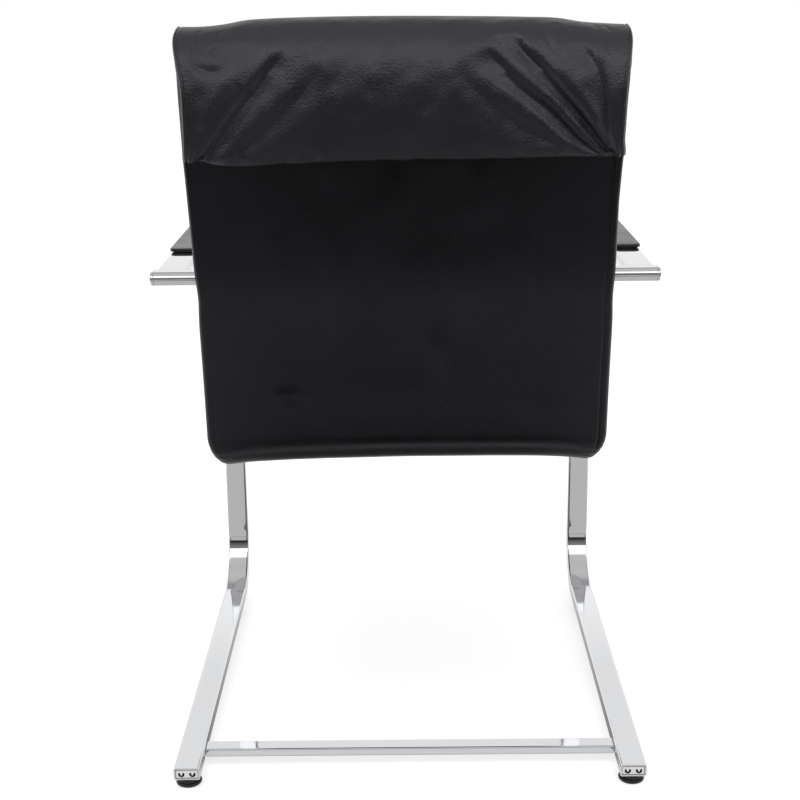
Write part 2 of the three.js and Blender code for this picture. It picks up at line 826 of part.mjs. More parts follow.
// The flap's section at one place across the chair, as places up the back and out of it: the
// outer line from the hem over the head roll to the front seam, then the inner line back.
function flapRing(x) {
  const rearSteps = 9;
  const rollSteps = 10;
  const rollPower = 0.75;
  const a = x / (flapWidth / 2);
  const hem = backHeight - flapDrop;
  const front = shellFront - backCushionThickness;
  const rollOut = (flapBulge + front) / 2;
  const rollReach = (flapBulge - front) / 2;
  const rise = headRoll + flapCrown * (1 - a ** 2);
  const edge = Math.max(0, 1 - (flapWidth / 2 - Math.abs(x)) / flapEdge);
  const inset = flapEdge * (1 - Math.sqrt(1 - edge ** 2));
  const ring = [];
  for (let k = 0; k < rearSteps; k += 1) {
    const b = k / rearSteps;
    const full = flapHem + (flapBulge - flapHem) * Math.sin(b * Math.PI / 2);
    const drawn = inset + pleatDraw(a, b * flapDrop / flapHeight);
    ring.push([hem + b * flapDrop, Math.max(flapHem / 2, full - drawn)]);
  }
  for (let k = 0; k <= rollSteps; k += 1) {
    const angle = Math.PI * k / rollSteps;
    const upShare = Math.sin(angle) ** rollPower;
    const outShare = Math.sign(Math.cos(angle)) * Math.abs(Math.cos(angle)) ** rollPower;
    const creased = 2 * k <= rollSteps ? pleatDraw(a, (flapDrop + rise * upShare) / flapHeight) : 0;
    const drawn = inset + creased;
    ring.push([backHeight + (rise - drawn) * upShare, rollOut + (rollReach - drawn) * outShare]);
  }
  ring.push(
    [flapSeam, front + inset],
    [flapSeam, shellFront - gap],
    [backHeight + gap, shellFront - gap],
    [backHeight + gap, gap],
    [hem, gap],
  );
  return ring.map(([up, out]) => {
    const place = panelFoot.clone().addScaledVector(upBack, up).addScaledVector(outBack, out);
    const lift = THREE.MathUtils.clamp((up - hem) / flapDrop, 0, 1);
    const across = x * THREE.MathUtils.lerp(flapHemWidth / flapWidth, 1, lift);
    return new THREE.Vector3(across, place.x, place.y);
  });
}

function headFlap() {
  const inner = flapWidth / 2 - flapEdge;
  const columns = 34;
  const edgeShares = [0.4, 0.75, 0.93, 1];
  const places = [];
  for (let k = 0; k <= columns; k += 1) {
    places.push(inner * (2 * k / columns - 1));
  }
  for (const share of edgeShares) {
    places.push(inner + flapEdge * share);
    places.unshift(-inner - flapEdge * share);
  }
  return loftedBody(places.map(flapRing));
}

// Assembly
const sides = { left: 1, right: -1 };

for (const [side, sign] of Object.entries(sides)) {
  const x = sign * sideCentre;
  addPiece(`side_frame_${side}`, sideFrame(), chrome).position.x = x;
  addPiece(`runner_plug_${side}`, runnerPlug(), greyPlastic).position.x = x;
  for (const [end, y] of Object.entries(glidePlaces)) {
    const disc = glide(glideDiameters[end]);
    addPiece(`glide_${end}_${side}`, disc, blackPlastic).position.set(x, y, 0);
  }
  for (const [end, y] of Object.entries(armScrewPlaces)) {
    const shank = tubeHeight + 2 * gap + coreThickness * coreBiteShare;
    const screw = screwBody(screwDiameter, screwHead, screwHeadHeight, shank, 12);
    const low = armUnderside - gap - screwHeadHeight;
    addPiece(`arm_screw_${end}_${side}`, screw, steel).position.set(x, y, low);
  }
  const core = addPiece(`arm_pad_core_${side}`, padCore(), blackPlastic);
  core.position.set(x, padCentre, armTop + gap);
  addPiece(`arm_pad_${side}`, armPad(), leather).position.set(x, padCentre, armTop + gap);
  const cap = addPiece(`back_tube_cap_${side}`, tubeCap(), chrome);
  cap.position.set(sign * (backTubeLength / 2 - capThickness), backTubeCentre.x, backTubeCentre.y);
  cap.rotation.z = sign > 0 ? 0 : Math.PI;
}

const floorSection = tubeSection(
  floorTubeDepth,
  floorTubeHeight,
  floorTubeCorner,
  floorTubeWall,
  2,
);
addPiece('floor_cross_tube', crossTube(floorSection, innerWidth - 2 * gap), chrome)
  .position.set(0, rearEnd - floorTubeSetback - floorTubeDepth / 2, floorTubeTop - floorTubeHeight / 2);

const backTubeShape = new THREE.Shape(backTubeOutline(0));
backTubeShape.holes.push(new THREE.Path(backTubeOutline(-tubeWall)));
addPiece('back_cross_tube', crossTube(backTubeShape, backTubeLength - 2 * capThickness), chrome)
  .position.set(0, backTubeCentre.x, backTubeCentre.y);

addPiece('seat_cross_tube', seatTube(), chrome);
addPiece('seat_shell', seatShell(), plywood);
addPiece('rear_cover', rearCover(), leather);
addPiece('seat_cushion', seatCushion(), leather);
addPiece('back_cushion', backCushion(), leather);
addPiece('head_flap', headFlap(), leather);

for (const [side, sign] of Object.entries(plateSides)) {
  const x = sign * plateSpacing / 2;
  addPiece(`carrier_plate_${side}`, placeOnBack(carrierPlate(), x, backTubeUp, plateFront), steel);
  for (const [row, lift] of Object.entries(screwRows)) {
    const up = backTubeUp + lift * plateScrewSpacing / 2;
    const out = plateFront + plateThickness + gap + screwHeadHeight;
    addPiece(`plate_screw_${row}_${side}`, placeOnBack(plateScrew(), x, up, out), steel);
  }
  const shank = boltTip - boltLow - boltHeadHeight;
  const bolt = screwBody(boltDiameter, boltHead, boltHeadHeight, shank, 12);
  addPiece(`seat_bolt_${side}`, bolt, steel).position.set(sign * boltSpacing / 2, seatTubeY, boltLow);
}

export default chair;
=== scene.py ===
import math

import bmesh
import bpy
import numpy as np
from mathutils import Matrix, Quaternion, Vector


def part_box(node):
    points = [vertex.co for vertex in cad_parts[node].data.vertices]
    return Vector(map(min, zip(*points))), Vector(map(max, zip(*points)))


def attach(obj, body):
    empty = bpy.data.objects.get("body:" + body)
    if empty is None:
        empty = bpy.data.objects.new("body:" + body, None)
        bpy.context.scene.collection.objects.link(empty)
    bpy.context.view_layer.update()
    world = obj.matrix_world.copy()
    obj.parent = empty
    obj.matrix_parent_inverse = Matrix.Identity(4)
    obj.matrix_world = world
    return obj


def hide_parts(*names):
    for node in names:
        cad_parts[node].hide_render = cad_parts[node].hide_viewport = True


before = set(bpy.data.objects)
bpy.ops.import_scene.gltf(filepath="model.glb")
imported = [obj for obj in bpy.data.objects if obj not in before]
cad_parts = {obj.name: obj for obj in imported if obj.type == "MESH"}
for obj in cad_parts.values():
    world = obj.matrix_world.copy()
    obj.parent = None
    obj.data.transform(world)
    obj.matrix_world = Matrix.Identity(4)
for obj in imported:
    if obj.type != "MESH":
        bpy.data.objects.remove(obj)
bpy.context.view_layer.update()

MM = 0.001

# Camera. It stands behind the chair and a little above it, and looks down at the back. Its place
# is in the chair's frame.
camera_place = Vector((0.4, 1735.5, 887.0)) * MM
camera_lens = 63.0
camera_turn = math.radians(0.26)
camera_dip = math.radians(16.58)
camera_roll = math.radians(0.62)

camera = bpy.data.objects.new("camera", bpy.data.cameras.new("camera"))
bpy.context.scene.collection.objects.link(camera)
bpy.context.scene.camera = camera
ahead = Vector((
    math.sin(camera_turn) * math.cos(camera_dip),
    -math.cos(camera_turn) * math.cos(camera_dip),
    -math.sin(camera_dip),
))
camera.rotation_mode = "QUATERNION"
camera.rotation_quaternion = (
    ahead.to_track_quat("-Z", "Y") @ Quaternion((0, 0, 1), -camera_roll)
)
camera.location = camera_place
camera.data.lens = camera_lens
camera.data.clip_start = 0.05
camera.data.clip_end = 60


# Studio. A white floor and white walls stand round the chair, the space behind the camera is dark
# below and lit above, as polished metal shows it, and one broad soft lamp hangs over the chair.
def linear_colour(text):
    """An sRGB colour, written as six hex digits, as linear red, green, blue and alpha."""
    values = [int(text[k:k + 2], 16) / 255 for k in (1, 3, 5)]
    return [v / 12.92 if v <= 0.04045 else ((v + 0.055) / 1.055) ** 2.4 for v in values] + [1]


def add_node(tree, kind, inputs=None, stops=(), **settings):
    """One shader node: its settings are set, its inputs take a value or a socket to link, and a
    colour ramp takes its stops as pairs of place and grey level or hex colour."""
    node = tree.nodes.new("ShaderNode" + kind)
    for name, value in settings.items():
        setattr(node, name, value)
    for key, value in (inputs or {}).items():
        if isinstance(value, bpy.types.NodeSocket):
            tree.links.new(value, node.inputs[key])
        else:
            node.inputs[key].default_value = value
    bar = node.color_ramp.elements if stops else ()
    while len(bar) < len(stops):
        bar.new(1.0)
    for element, (place, tone) in zip(bar, stops):
        element.position = place
        element.color = linear_colour(tone) if isinstance(tone, str) else (tone, tone, tone, 1)
    return node


def new_material(name):
    """An empty material with its output node: returns the material, its tree and the output."""
    material = bpy.data.materials.new(name)
    material.use_nodes = True
    material.node_tree.nodes.clear()
    return material, material.node_tree, add_node(material.node_tree, "OutputMaterial")


def add_object(name, points, faces, material=None, smooth_angle=35):
    """A mesh object at the origin from arrays of points and faces, smooth up to an angle."""
    mesh = bpy.data.meshes.new(name)
    mesh.from_pydata(np.asarray(points).reshape(-1, 3).tolist(), [], np.asarray(faces).tolist())
    mesh.validate()
    mesh.shade_smooth()
    mesh.set_sharp_from_angle(angle=math.radians(smooth_angle))
    if material:
        mesh.materials.append(material)
    piece = bpy.data.objects.new(name, mesh)
    bpy.context.scene.collection.objects.link(piece)
    return piece


floor_half = 9.0
floor_drop = 0.2 * MM
corners = ((-1, -1), (1, -1), (1, 1), (-1, 1))
floor = add_object(
    "studio_floor", [[x * floor_half, y * floor_half, -floor_drop] for x, y in corners],
    [[0, 1, 2, 3]],
)
floor_paint, tree, output = new_material("studio_floor_paint")
light_path = add_node(tree, "LightPath")
place = add_node(tree, "TexCoord").outputs["Object"]
split = add_node(tree, "SeparateXYZ", {"Vector": place})
floor_start, floor_end = -0.6, 1.8
along_floor = add_node(tree, "MapRange", {
    "Value": split.outputs["Y"], "From Min": floor_start, "From Max": floor_end,
})

# What the chrome and the leather mirror of the floor: three lengthwise strips, in line with the
# chair, beside it and further out, each given as pairs of distance behind the origin and glow. The
# strip in line with the chair holds a painted shadow: it is dark under the chair and just behind
# it.
strip, side_strip, flank_strip = (
    add_node(tree, "ValToRGB", {"Fac": along_floor.outputs["Result"]}, [
        ((y - floor_start) / (floor_end - floor_start), glow) for y, glow in levels
    ]).outputs["Color"]
    for levels in (
        [
            (-0.6, 0.97), (-0.3, 0.9), (-0.12, 0.15), (0.25, 0.1), (0.29, 0.66), (0.35, 0.66),
            (0.42, 0.08), (0.93, 0.03), (1.02, 0.58), (1.27, 0.56), (1.42, 0.03), (1.8, 0.02),
        ],
        [(-0.6, 0.62), (1.3, 0.62), (1.45, 0.16), (1.8, 0.1)],
        [(-0.6, 1.15), (0.7, 1.15), (1.3, 0.12), (1.8, 0.08)],
    )
)
mirrored_glow = 1.25
seen_glow = 4.1
matte_share = 0.85
beside = add_node(tree, "Math", {0: split.outputs["X"]}, operation="ABSOLUTE")
behind = add_node(tree, "Math", {0: split.outputs["Y"], 1: 0.0}, operation="MAXIMUM")
spread = add_node(tree, "Math", {
    0: behind.outputs[0], 1: -0.12, 2: beside.outputs[0],
}, operation="MULTIPLY_ADD")
# Within the chair's width the mirrored floor is the strip with the painted shadow; past it, the
# plain strip beside the chair.
past_chair = add_node(tree, "MapRange", {
    "Value": spread.outputs[0], "From Min": 0.19, "From Max": 0.26,
})
open_side = add_node(tree, "MapRange", {
    "Value": beside.outputs[0], "From Min": 0.5, "From Max": 0.9,
})
matte = add_node(tree, "BsdfDiffuse", {"Color": linear_colour("#F4F4F4")})
seen_white = add_node(tree, "Emission", {"Color": (1, 1, 1, 1), "Strength": seen_glow})
seen = add_node(tree, "MixShader", {
    "Fac": matte_share, 1: seen_white.outputs[0], 2: matte.outputs[0],
})
# Painted shadow of the chair, seen only in reflections: the dark stretch of this strip under and
# behind the chair.
middle = add_node(tree, "Emission", {"Color": strip, "Strength": mirrored_glow})
beside_chair = add_node(tree, "Emission", {"Color": side_strip})
flank = add_node(tree, "Emission", {"Color": flank_strip})
near_chair = add_node(tree, "MixShader", {
    "Fac": past_chair.outputs["Result"], 1: middle.outputs[0], 2: beside_chair.outputs[0],
})
mirrored = add_node(tree, "MixShader", {
    "Fac": open_side.outputs["Result"], 1: near_chair.outputs[0], 2: flank.outputs[0],
})
unseen = add_node(tree, "MixShader", {
    "Fac": light_path.outputs["Is Glossy Ray"], 1: matte.outputs[0], 2: mirrored.outputs[0],
})
mix = add_node(tree, "MixShader", {
    "Fac": light_path.outputs["Is Camera Ray"], 1: unseen.outputs[0], 2: seen.outputs[0],
})
tree.links.new(mix.outputs[0], output.inputs["Surface"])
floor.data.materials.append(floor_paint)

# A card behind the camera, seen only in the chrome and the leather: dark below and greyer toward
# its top, with a bright foot on either side of the chair's own image.
card_half, card_height, card_back = 3.0, 1.05, 1.8
card = add_object(
    "studio_rear_card",
    [[x * card_half, card_back, z * card_height] for x, z in ((-1, 0), (1, 0), (1, 1), (-1, 1))],
    [[0, 1, 2, 3]],
)
card_paint, tree, output = new_material("studio_rear_card_paint")
split = add_node(tree, "SeparateXYZ", {"Vector": add_node(tree, "TexCoord").outputs["Object"]})
card_share = add_node(tree, "Math", {
    0: split.outputs["Z"], 1: 1 / card_height,
}, operation="MULTIPLY")
in_line, past_line = (
    add_node(tree, "ValToRGB", {"Fac": card_share.outputs[0]}, [
        (height / card_height, glow) for height, glow in levels
    ]).outputs["Color"]
    for levels in (
        [(0.0, 0.04), (0.4, 0.04), (0.75, 0.22), (1.05, 0.3)],
        [(0.0, 0.62), (0.27, 0.62), (0.31, 0.025), (0.4, 0.025), (0.75, 0.2), (1.05, 0.3)],
    )
)
beside = add_node(tree, "Math", {0: split.outputs["X"]}, operation="ABSOLUTE")
foot_width = add_node(tree, "ValToRGB", {"Fac": beside.outputs[0]}, [
    (0.4, 0.0), (0.48, 1.0), (0.65, 1.0), (0.8, 0.0),
]).outputs["Color"]
mix = add_node(tree, "MixShader", {
    "Fac": foot_width,
    1: add_node(tree, "Emission", {"Color": in_line}).outputs[0],
    2: add_node(tree, "Emission", {"Color": past_line}).outputs[0],
})
tree.links.new(mix.outputs[0], output.inputs["Surface"])
card.data.materials.append(card_paint)
card.visible_camera = card.visible_diffuse = card.visible_shadow = False
card.visible_transmission = card.visible_volume_scatter = False

# The world shows white to the camera and lights evenly. In mirrors it has walls that are darker
# overhead, and black behind the camera up to the card's height.
wall_glow = 1.64
soft_glow = 0.70
world = bpy.data.worlds.new("studio")
bpy.context.scene.world = world
world.use_nodes = True
tree = world.node_tree
tree.nodes.clear()
light_path = add_node(tree, "LightPath")
way = add_node(tree, "SeparateXYZ", {"Vector": add_node(tree, "TexCoord").outputs["Generated"]})
level = add_node(tree, "MapRange", {"Value": way.outputs["Z"], "From Min": -0.25, "From Max": 1.0})
ahead_walls = add_node(tree, "ValToRGB", {"Fac": level.outputs["Result"]}, [
    (0.0, 0.62), (0.42, 0.62), (0.48, 0.70), (0.535, 0.70), (0.565, 0.6), (0.625, 0.62),
    (0.665, 0.24), (0.85, 0.24), (0.95, 0.38), (1.0, 0.41),
]).outputs["Color"]
behind_walls = add_node(tree, "ValToRGB", {"Fac": level.outputs["Result"]}, [
    (0.0, 0.015), (0.467, 0.015), (0.49, 1.0), (0.55, 1.1), (0.75, 1.1), (0.81, 0.41), (1.0, 0.41),
]).outputs["Color"]
toward_camera = add_node(tree, "MapRange", {
    "Value": way.outputs["Y"], "From Min": 0.2, "From Max": 0.5,
}, interpolation_type="SMOOTHSTEP")
soft = add_node(tree, "Background", {"Color": (1, 1, 1, 1), "Strength": soft_glow})
front_half = add_node(tree, "Background", {"Color": ahead_walls, "Strength": wall_glow})
rear_half = add_node(tree, "Background", {"Color": behind_walls, "Strength": wall_glow})
mirrored = add_node(tree, "MixShader", {
    "Fac": toward_camera.outputs["Result"], 1: front_half.outputs[0], 2: rear_half.outputs[0],
})
white = add_node(tree, "Background", {"Color": (1, 1, 1, 1), "Strength": 1.0})
unseen = add_node(tree, "MixShader", {
    "Fac": light_path.outputs["Is Glossy Ray"], 1: soft.outputs[0], 2: mirrored.outputs[0],
})
mix = add_node(tree, "MixShader", {
    "Fac": light_path.outputs["Is Camera Ray"], 1: unseen.outputs[0], 2: white.outputs[0],
})
add_node(tree, "OutputWorld", {"Surface": mix.outputs[0]})

lamp_size = 1.8
lamp_height = 2.3
lamp_glow = 1.15
lamp = bpy.data.objects.new("overhead_lamp", bpy.data.lights.new("overhead_lamp", "AREA"))
lamp.data.size = lamp_size
lamp.data.energy = lamp_glow * math.pi * lamp_size ** 2
lamp.location = (0.15, 0.35, lamp_height)
lamp.visible_glossy = False
bpy.context.scene.collection.objects.link(lamp)

bpy.context.scene.view_settings.view_transform = "Standard"

# Side frames. Each is one rectangular steel tube, bent cold into runner, leg and arm, polished and
# chromed. The runner's rear end is open, and the arm's end is coped to the tube through the back.
REAR, TOP = 1, 2
sides = {"left": 1, "right": -1}
frame_low, frame_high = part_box("side_frame_left")
tube_width = frame_high.x - frame_low.x
tube_height = 15 * MM
tube_wall = 2 * MM
tube_corner = 2.5 * MM
bend_radius = 70 * MM
edge_break = 0.35 * MM
oval_low, oval_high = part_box("back_cross_tube")
oval_depth = oval_high.y - oval_low.y
oval_height = oval_high.z - oval_low.z
oval_corner = 7 * MM
seat_gap = 0.3 * MM


def rounded_outline(width, height, corner, inset=0.0, arc_steps=6):
    """Points round a rectangle with arcs for corners, drawn in by inset. Each side has points
    near its ends, so that it stays flat up to the arcs when it is shaded smooth."""
    corner = max(corner - inset, 0.2 * corner)
    half = np.array([width / 2 - inset - corner, height / 2 - inset - corner])
    signs = np.array([[1, 1], [-1, 1], [-1, -1], [1, -1]])
    shares = np.array([0.04, 0.35, 0.65, 0.96])[:, None]
    points = []
    for k in range(4):
        angle = (k + np.linspace(0, 1, arc_steps + 1)) * math.pi / 2
        arc = half * signs[k] + corner * np.stack([np.cos(angle), np.sin(angle)], axis=1)
        turned = (k + 1) * math.pi / 2
        far = half * signs[(k + 1) % 4] + corner * np.array([math.cos(turned), math.sin(turned)])
        points += [arc, arc[-1] + (far - arc[-1]) * shares]
    return np.concatenate(points)


def bent_line(corners, radius, arc_steps=30, support=2 * MM):
    """Stations along straight runs joined by arcs: places and directions in a plane. A straight
    run gets a station a little before and after each arc."""
    corners = np.asarray(corners, float)
    ways = np.diff(corners, axis=0)
    ways /= np.linalg.norm(ways, axis=1, keepdims=True)
    places, along = [corners[:1]], [ways[:1]]
    for corner, before, after in zip(corners[1:-1], ways[:-1], ways[1:]):
        turn = math.atan2(before[0] * after[1] - before[1] * after[0], before @ after)
        setback = radius * math.tan(abs(turn) / 2)
        side = math.copysign(1, turn)
        inward = side * np.array([-before[1], before[0]])
        centre = corner - before * setback + inward * radius
        angle = turn * np.linspace(0, 1, arc_steps + 1)[:, None]
        spoke = -inward * radius
        crossed = np.array([-spoke[1], spoke[0]])
        arc = centre + spoke * np.cos(angle) + crossed * np.sin(angle)
        heading = before * np.cos(angle) + np.array([-before[1], before[0]]) * np.sin(angle)
        places += [arc[:1] - before * support, arc, arc[-1:] + after * support]
        along += [before[None], heading, after[None]]
    places.append(corners[-1:])
    along.append(ways[-1:])
    return np.concatenate(places), np.concatenate(along)


def swept_rings(places, along, outline, x=0.0):
    """Rings of an outline along a line in the plane across X: the outline's first axis lies
    along X and its second square to the line."""
    square = np.stack([-along[:, 1], along[:, 0]], axis=1)
    plane = places[:, None, :] + outline[None, :, 1:] * square[:, None, :]
    across = np.broadcast_to(x + outline[:, 0], plane.shape[:2])
    return np.concatenate([across[..., None], plane], axis=2)


def grid_faces(rows, columns, loop_rows=False, loop_columns=False):
    """Quads between the points of a grid, which may close on itself either way."""
    r = np.arange(rows if loop_rows else rows - 1)[:, None]
    c = np.arange(columns if loop_columns else columns - 1)[None, :]
    r2, c2 = (r + 1) % rows, (c + 1) % columns
    quads = [r * columns + c, r * columns + c2, r2 * columns + c2, r2 * columns + c]
    return np.stack([np.broadcast_to(q, (r.size, c.size)) for q in quads], axis=-1).reshape(-1, 4)


def outward(points, faces):
    """The faces, turned so that the closed body they bound has a positive volume."""
    corners = np.asarray(points).reshape(-1, 3)[faces]
    a, b, c, d = (corners[:, k] for k in range(4))
    volume = np.einsum("ij,ij->", a, np.cross(b, c)) + np.einsum("ij,ij->", a, np.cross(c, d))
    return faces[:, ::-1] if volume < 0 else faces


def hollow_tube(name, places, along, size, corner, wall, x=0.0, shape=None):
    """A closed tube wall: the outer skin out along the line, the bore back along it, and small
    broken edges at both mouths. shape may move the rings before the faces are made."""
    skin = rounded_outline(*size, corner)
    lip = rounded_outline(*size, corner, edge_break)
    mouth = rounded_outline(*size, corner, wall - edge_break)
    bore = rounded_outline(*size, corner, wall)
    trimmed = places.copy()
    trimmed[0] += along[0] * edge_break
    trimmed[-1] -= along[-1] * edge_break
    rings = np.concatenate([
        swept_rings(places[:1], along[:1], lip, x),
        swept_rings(trimmed, along, skin, x),
        swept_rings(places[-1:], along[-1:], lip, x),
        swept_rings(places[-1:], along[-1:], mouth, x),
        swept_rings(trimmed[::-1], along[::-1], bore, x),
        swept_rings(places[:1], along[:1], mouth, x),
    ])
    if shape:
        rings = shape(rings, len(places))
    faces = grid_faces(*rings.shape[:2], loop_rows=True, loop_columns=True)
    return add_object(name, rings, outward(rings, faces))


def chrome_plate():
    """Bright chrome over polished steel: it mirrors the room, a little unevenly, because the
    tube's walls were drawn and bent, and it has faint cloudy smears from handling."""
    material, tree, output = new_material("chromed_steel")
    place = add_node(tree, "TexCoord").outputs["Object"]
    wave_length = 38 * MM
    waves = add_node(tree, "TexNoise", {"Vector": place, "Scale": 1 / wave_length, "Detail": 1.5})
    uneven = add_node(tree, "Bump", {
        "Strength": 1.0, "Distance": 0.035 * MM, "Height": waves.outputs["Fac"],
    })
    smear_size = 22 * MM
    smears = add_node(tree, "TexNoise", {"Vector": place, "Scale": 1 / smear_size, "Detail": 6})
    rough = add_node(tree, "MapRange", {
        "Value": smears.outputs["Fac"], "From Min": 0.35, "From Max": 0.75,
        "To Min": 0.035, "To Max": 0.075,
    })
    metal = add_node(tree, "BsdfPrincipled", {
        "Base Color": linear_colour("#DADBDD"),
        "Metallic": 1.0,
        "Roughness": rough.outputs["Result"],
        "Normal": uneven.outputs["Normal"],
    })
    tree.links.new(metal.outputs[0], output.inputs["Surface"])
    return material


chrome = chrome_plate()
tube_middle = frame_low.z + tube_height / 2
arm_middle = frame_high.z - tube_height / 2
leg_middle = frame_low.y + tube_height / 2
oval_centre = Vector((0, (oval_low.y + oval_high.y) / 2, (oval_low.z + oval_high.z) / 2))
places, along = bent_line(
    [
        (frame_high.y, tube_middle),
        (leg_middle, tube_middle),
        (leg_middle, arm_middle),
        (oval_centre.y, arm_middle),
    ],
    bend_radius + tube_height / 2,
)


def cope_to_oval(rings, count):
    """The arm's end follows the flat-oval tube it meets: its front is a half circle between two
    flats, so each point goes back by that circle's depth at its height."""
    end = rings[count:count + 4]
    lift = np.abs(end[..., TOP] - oval_centre.z)
    beyond = np.clip(lift - (oval_height / 2 - oval_corner), 0, oval_corner)
    depth = oval_depth / 2 - oval_corner + np.sqrt(oval_corner ** 2 - beyond ** 2)
    end[..., REAR] = oval_centre.y - depth - seat_gap
    return rings


for side in sides:
    low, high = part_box(f"side_frame_{side}")
    tube = hollow_tube(
        f"bent_side_frame_{side}", places, along, (tube_width, tube_height), tube_corner,
        tube_wall, x=(low.x + high.x) / 2, shape=cope_to_oval,
    )
    tube.data.materials.append(chrome)
    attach(tube, "root")
    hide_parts(f"side_frame_{side}")


# Glides. Four turned discs of black nylon stand under the runners, each held by a peg pressed
# into the tube. The rear two are as wide as the tube. Each has a round rim at its foot, a fine
# groove above it and a slope up to the tube.
def turned_body(profile, steps=96):
    """A profile of (radius, height) pairs turned about the upright axis, closed at both poles."""
    profile = np.asarray(profile, float)
    angle = np.linspace(0, 2 * math.pi, steps, endpoint=False)
    radius, height = profile[:, :1], profile[:, 1:]
    rings = np.stack(
        np.broadcast_arrays(radius * np.cos(angle), radius * np.sin(angle), height), axis=-1
    )
    return rings


def close_poles(piece):
    """Merges the points that lie on one another, so that a pole or a folded edge is closed."""
    mesh = bmesh.new()
    mesh.from_mesh(piece.data)
    bmesh.ops.remove_doubles(mesh, verts=mesh.verts, dist=1e-6)
    bmesh.ops.dissolve_degenerate(mesh, dist=1e-7, edges=mesh.edges)
    bmesh.ops.recalc_face_normals(mesh, faces=mesh.faces)
    mesh.to_mesh(piece.data)
    mesh.free()


def nylon():
    """Moulded black nylon: a glossy skin with a very fine sparked texture."""
    material, tree, output = new_material("moulded_black_nylon")
    place = add_node(tree, "TexCoord").outputs["Object"]
    grain_size = 0.5 * MM
    grain = add_node(tree, "TexNoise", {"Vector": place, "Scale": 1 / grain_size, "Detail": 2})
    fine = add_node(tree, "Bump", {
        "Strength": 0.5, "Distance": 0.015 * MM, "Height": grain.outputs["Fac"],
    })
    patch = add_node(tree, "TexNoise", {"Vector": place, "Scale": 1 / (9 * MM), "Detail": 3})
    tone = add_node(tree, "ValToRGB", {"Fac": patch.outputs["Fac"]}, [
        (0.3, "#0F1012"), (0.7, "#17181A"),
    ]).outputs["Color"]
    rough = add_node(tree, "MapRange", {
        "Value": patch.outputs["Fac"], "To Min": 0.16, "To Max": 0.28,
    })
    skin = add_node(tree, "BsdfPrincipled", {
        "Base Color": tone,
        "Roughness": rough.outputs["Result"],
        "Normal": fine.outputs["Normal"],
    })
    tree.links.new(skin.outputs[0], output.inputs["Surface"])
    return material


black_nylon = nylon()


def arc_points(centre, radius, start, end, steps=6):
    """Points of an arc in a profile, from one angle to another in degrees."""
    angle = np.radians(np.linspace(start, end, steps + 1))
    return np.stack([centre[0] + radius * np.cos(angle), centre[1] + radius * np.sin(angle)], 1)


for end in ("rear", "front"):
    for side in sides:
        low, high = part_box(f"glide_{end}_{side}")
        radius = (high.x - low.x) / 2
        seat = frame_low.z - seat_gap
        rim, groove = 2.2 * MM, 0.5 * MM
        slope_foot = np.array([radius - 2.9 * MM, 4.5 * MM])
        slope_top = np.array([radius - 7.6 * MM, 9.3 * MM])
        profile = np.concatenate([
            [[0, 0], [radius - 2 * rim, 0]],
            arc_points((radius - rim, rim), rim, -90, 80),
            [slope_foot - (0, groove), slope_foot],
            slope_foot + (slope_top - slope_foot) * np.linspace(0.1, 1, 6)[:, None],
            [[slope_top[0] - 0.6 * MM, seat], [0, seat]],
        ])
        rings = turned_body(profile) + np.array(
            [(low.x + high.x) / 2, (low.y + high.y) / 2, 0]
        )
        disc = add_object(
            f"turned_glide_{end}_{side}", rings,
            grid_faces(*rings.shape[:2], loop_columns=True), black_nylon,
        )
        close_poles(disc)
        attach(disc, "root")
        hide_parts(f"glide_{end}_{side}")


# Runner inserts. Pale moulded plastic closes each runner's open end, a little inside it, with two
# U-shaped slots that let it spring when it is pushed in, and a fine gap under the tube's top wall.
insert_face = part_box("runner_plug_left")[1].y
slot_offset, slot_radius, slot_arm, slot_half = 6.4 * MM, 2.4 * MM, 0.9 * MM, 1.15 * MM
slot_depth, slot_drop = 4 * MM, 0.3 * MM
slot_wall = (-0.25 * MM, 0.1 * MM)
insert_gap = 0.7 * MM
insert_round = 0.4 * MM


def dress(node, material):
    """Gives a node of the frame its finish."""
    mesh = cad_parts[node].data
    mesh.materials.clear()
    mesh.materials.append(material)


def pale_moulding():
    """Moulded pale grey polypropylene: smooth, faintly mottled and waxy. Below its face, down in
    the
    slots, the colour is painted near black: painted shade that stands for the dark bore of the
    tube."""
    material, tree, output = new_material("moulded_grey_polypropylene")
    place = add_node(tree, "TexCoord").outputs["Object"]
    mottle = add_node(tree, "TexNoise", {"Vector": place, "Scale": 1 / (3 * MM), "Detail": 4})
    pale = add_node(tree, "ValToRGB", {"Fac": mottle.outputs["Fac"]}, [
        (0.3, "#F8F8F8"), (0.7, "#FFFFFF"),
    ]).outputs["Color"]
    split = add_node(tree, "SeparateXYZ", {"Vector": place})
    slot_shade_fade = add_node(tree, "MapRange", {
        "Value": split.outputs["Y"], "From Min": insert_face - 0.9 * MM,
        "From Max": insert_face - 0.4 * MM,
    })
    # Painted shade: below the face, in the slots, the colour goes near black for the shade of the
    # tube's bore.
    tone = add_node(tree, "MixRGB", {
        "Fac": slot_shade_fade.outputs["Result"], "Color1": linear_colour("#050506"), "Color2": pale,
    }).outputs["Color"]
    fine = add_node(tree, "Bump", {
        "Strength": 0.4, "Distance": 0.03 * MM, "Height": mottle.outputs["Fac"],
    })
    skin = add_node(tree, "BsdfPrincipled", {
        "Base Color": tone, "Roughness": 0.3, "Normal": fine.outputs["Normal"],
    })
    tree.links.new(skin.outputs[0], output.inputs["Surface"])
    return material


def two_skins(upper, lower):
    """Points and faces of a body whose two skins share their outer edge."""
    rows, columns = upper.shape[:2]
    faces = grid_faces(rows, columns)
    points = np.concatenate([upper.reshape(-1, 3), lower.reshape(-1, 3)])
    return points, np.concatenate([faces, faces[:, ::-1] + rows * columns])


def smooth_step(values, low, high):
    """Nought below low, one above high, and an S-shaped rise between them."""
    t = np.clip((values - low) / (high - low), 0, 1)
    return t * t * (3 - 2 * t)


